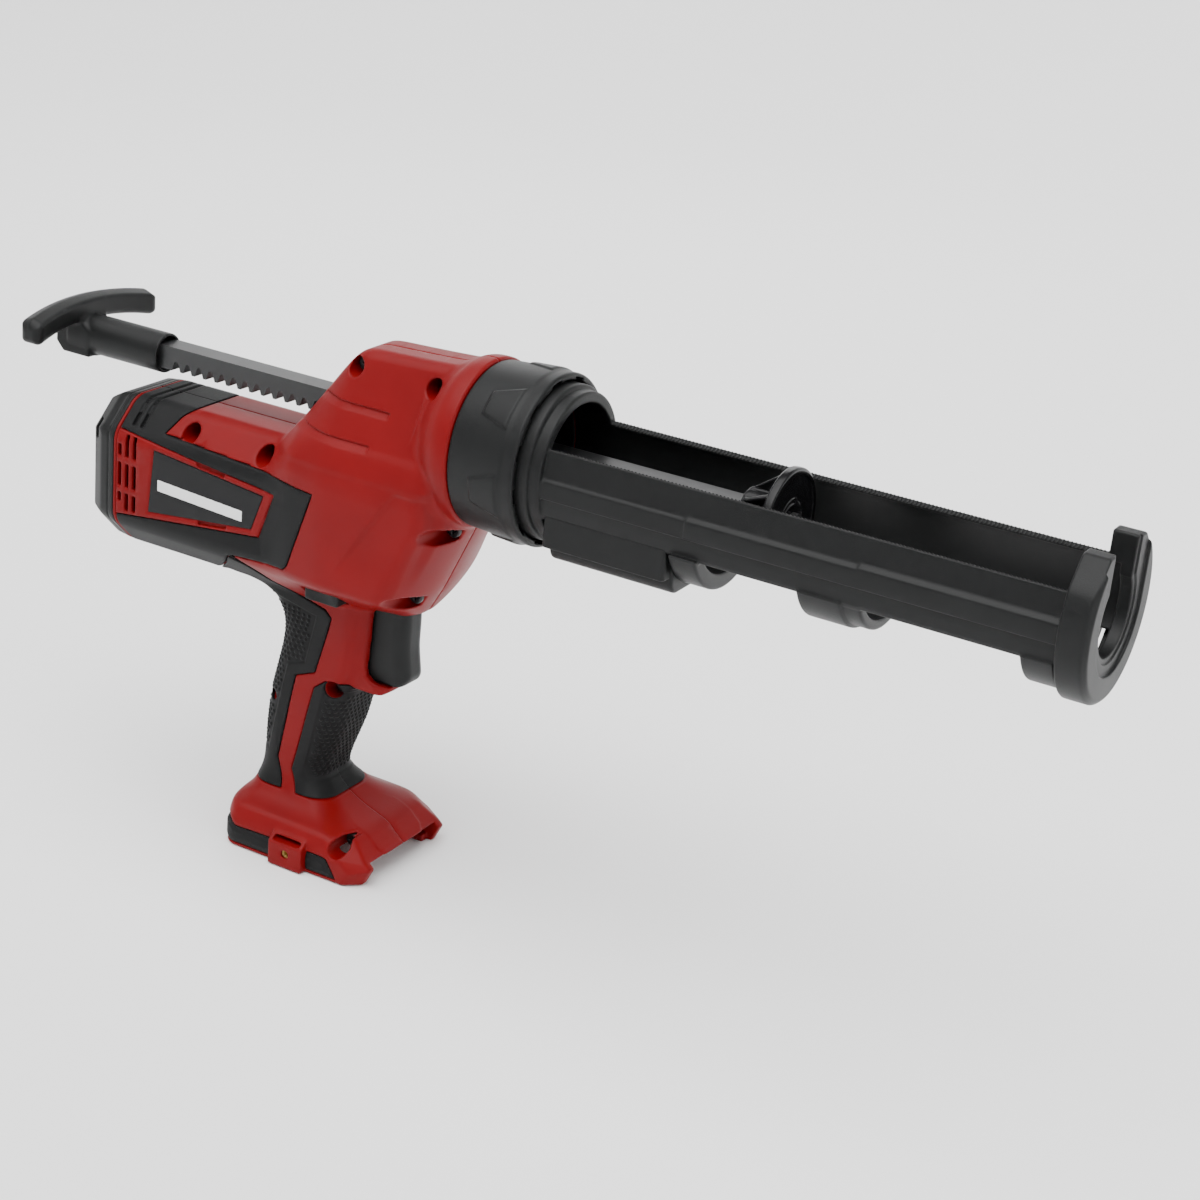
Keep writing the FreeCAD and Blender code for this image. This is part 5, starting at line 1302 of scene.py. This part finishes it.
def pull_handle_field(x, y, z):
    """Sleeve, bevelled block and drooping cross bar."""
    up = z - AXIS_Z
    out = abs(y)
    share = (y / BAR_HALF) ** 2
    along = x - BAR_X - 4.2 * share
    above = up - 11.6 + 4.4 * share
    bar = rmax(abs(along) - 5.4 - 0.5 * share, abs(above) - 5.7 - 0.4 * share, 3)
    crown = (above - 5.4 + 0.35 * abs(along)) / 1.06
    bar = rmax(rmax(bar, crown, 1.2), out - BAR_HALF, 4.5)
    side = outline(x, z, BLOCK)
    block_form = rmax(side, out - 9 + 0.04 * (z - 195), 1.2)
    sleeve = rmax(np.hypot(y, up) - 8.8, both(-150 - x, x + 100), 0.7)
    shape = rmin(rmin(block_form, bar, 1.6), sleeve, 1.4)
    bore = both(np.hypot(y, up) - 7.5, -106 - x)
    shape = rmax(shape, -bore, FINE)
    square = both(both(out, abs(up)) - ROD_HALF, -146 - x)
    screw = both(np.hypot(y, up) - 4.1, x + 153.8)
    return both(rmax(shape, -screw, FINE), -both(square, x + 100.5))


TRIGGER_X = (20.5, 39.5)
TRIGGER_Z = (86.5, 121.6)
TRIGGER_SKIRT = 14.6


def trigger_field(x, y, z):
    """The paddle trigger with a round nose and a hollow skirt inside the grip."""
    out = abs(y)
    hollow = 0.9 * np.exp(-((z - 103) / 9) ** 2)
    front = x - TRIGGER_X[1] + hollow + 0.06 * (z - TRIGGER_Z[0])
    toe = (x - 36.4 + TRIGGER_Z[0] - z) / math.sqrt(2)
    nose = rmax(front, out - 8.5, 6)
    shape = rmax(rmax(nose, toe, 2), TRIGGER_Z[0] - z, 1.2)
    shape = rmax(shape, both(z - TRIGGER_Z[1], TRIGGER_SKIRT - x), LIGHT)
    inside = both(out - 6.8, x - TRIGGER_X[0], TRIGGER_Z[0] + 1.6 - z)
    return rmax(shape, -inside, FINE)


LOCK_BAR = ((-2, -27, 123.6), (15, 27, 129.4))
LOCK_MIDDLE = (6.5, 126.5)
LOCK_DISH_R = 22
LOCK_DISH_OUT = 21.2


def lock_field(x, y, z):
    """The push-through bar, dished at its ends."""
    shape = block(x, y, z, *LOCK_BAR, BROAD)
    aside = abs(y) - LOCK_BAR[1][1] - LOCK_DISH_OUT
    dish = np.hypot(np.hypot(x - LOCK_MIDDLE[0], z - LOCK_MIDDLE[1]), aside) - LOCK_DISH_R
    return rmax(shape, -dish, FINE)


def make_works():
    """Pieces that the hand moves, and the plunger."""
    add_pieces((
        ("pusher", plunger_field, (PLUNGER_X[0], -23, AXIS_Z - 23), (PLUNGER_X[2], 23, AXIS_Z + 23),
         0.4, 0.5, "gloss_black", "rod", "plunger"),
        ("pull_bar", pull_handle_field, (-157.5, -41, 194), (-99.5, 41, 223), 0.45, 0.6,
         "black_plastic", "rod", "pull_handle"),
        ("trigger_paddle", trigger_field, (TRIGGER_SKIRT, -10.5, TRIGGER_Z[0]),
         (TRIGGER_X[1], 10.5, TRIGGER_Z[1]), 0.35, 0.6, "black_plastic", "trigger", "trigger"),
        ("lock_bar", lock_field, *LOCK_BAR, 0.3, 0.5, "black_plastic", "lock", "lock_button"),
    ))


# Camera, floor and light

EYE = Vector((0.55764, -0.80305, 0.51754))
AZIMUTH = math.radians(28.30)
ELEVATION = math.radians(21.92)
ROLL = math.radians(5.48)
LENS_MM = 72.79
SENSOR_MM = 36


def make_camera():
    """The photograph's viewpoint."""
    data = bpy.data.cameras.new("camera")
    data.sensor_width = SENSOR_MM
    data.lens = LENS_MM
    camera = placed("camera", data)
    back = Vector((math.sin(AZIMUTH) * math.cos(ELEVATION), -math.cos(AZIMUTH) * math.cos(ELEVATION),
                   math.sin(ELEVATION)))
    level = Vector((math.cos(AZIMUTH), math.sin(AZIMUTH), 0))
    up = back.cross(level)
    right = level * math.cos(ROLL) + up * math.sin(ROLL)
    top = up * math.cos(ROLL) - level * math.sin(ROLL)
    matrix = Matrix((right, top, back)).transposed().to_4x4()
    matrix.translation = EYE
    camera.matrix_world = matrix
    bpy.context.scene.camera = camera


FLOOR_R = 2200
FLOOR_Z = -0.5
BEND_R = 1300
WALL_TOP = 3200
BEND_STEPS = 16
FLOOR_SIDES = 128


def make_floor():
    """A wide pale floor under the foot, curved up to a round wall."""
    bend = [math.pi / 2 * number / BEND_STEPS for number in range(BEND_STEPS + 1)]
    rings = [(FLOOR_R + BEND_R * math.sin(a), FLOOR_Z + BEND_R * (1 - math.cos(a))) for a in bend]
    rings.append((FLOOR_R + BEND_R, WALL_TOP))
    points = [(0.0, 0.0, FLOOR_Z)]
    faces = []
    for ring, (reach, height) in enumerate(rings):
        for number in range(FLOOR_SIDES):
            angle = 2 * math.pi * number / FLOOR_SIDES
            points.append((reach * math.cos(angle), reach * math.sin(angle), height))
            here = 1 + ring * FLOOR_SIDES + number
            after = 1 + ring * FLOOR_SIDES + (number + 1) % FLOOR_SIDES
            if ring == 0:
                faces.append((0, here, after))
            else:
                faces.append((here - FLOOR_SIDES, here, after, after - FLOOR_SIDES))
    floor = add_mesh("floor", points, faces)
    material, shader = principled("floor", (0.95, 0.95, 0.95), 0.9)
    floor.data.materials.append(material)


LIGHTS = (
    ("key", (0.10, -0.50, 1.60), (0.05, 0.0, 0.15), 1.2, 10),
    ("rear", (-0.60, 1.10, 0.90), (0.05, 0.0, 0.18), 0.8, 2.5),
    ("front", (1.50, -0.40, 0.60), (0.10, 0.0, 0.15), 0.8, 2.5),
)
SKY_TILT = (math.radians(14), math.radians(-8), 0.0)
SKY_ANGLE = math.radians(75)
SKY_POWER = 4.6
ROOM = 0.20


def make_lights():
    """A broad even light from above and soft lamps round the tool, in a pale room."""
    data = bpy.data.lights.new("sky", "SUN")
    data.angle = SKY_ANGLE
    data.energy = SKY_POWER
    placed("sky", data).rotation_euler = SKY_TILT
    for name, place, aim, size, power in LIGHTS:
        data = bpy.data.lights.new(name, "AREA")
        data.shape = "DISK"
        data.size = size
        data.energy = power
        lamp = placed(name, data)
        lamp.location = place
        lamp.rotation_euler = (Vector(place) - Vector(aim)).to_track_quat("Z", "Y").to_euler()
    world = bpy.data.worlds.new("room")
    world.use_nodes = True
    world.node_tree.nodes["Background"].inputs["Color"].default_value = (1.0, 1.0, 1.0, 1.0)
    world.node_tree.nodes["Background"].inputs["Strength"].default_value = ROOM
    bpy.context.scene.world = world


dress_nodes()
make_shells()
make_skins()
make_screws()
make_cradle()
make_works()
make_camera()
make_floor()
make_lights()
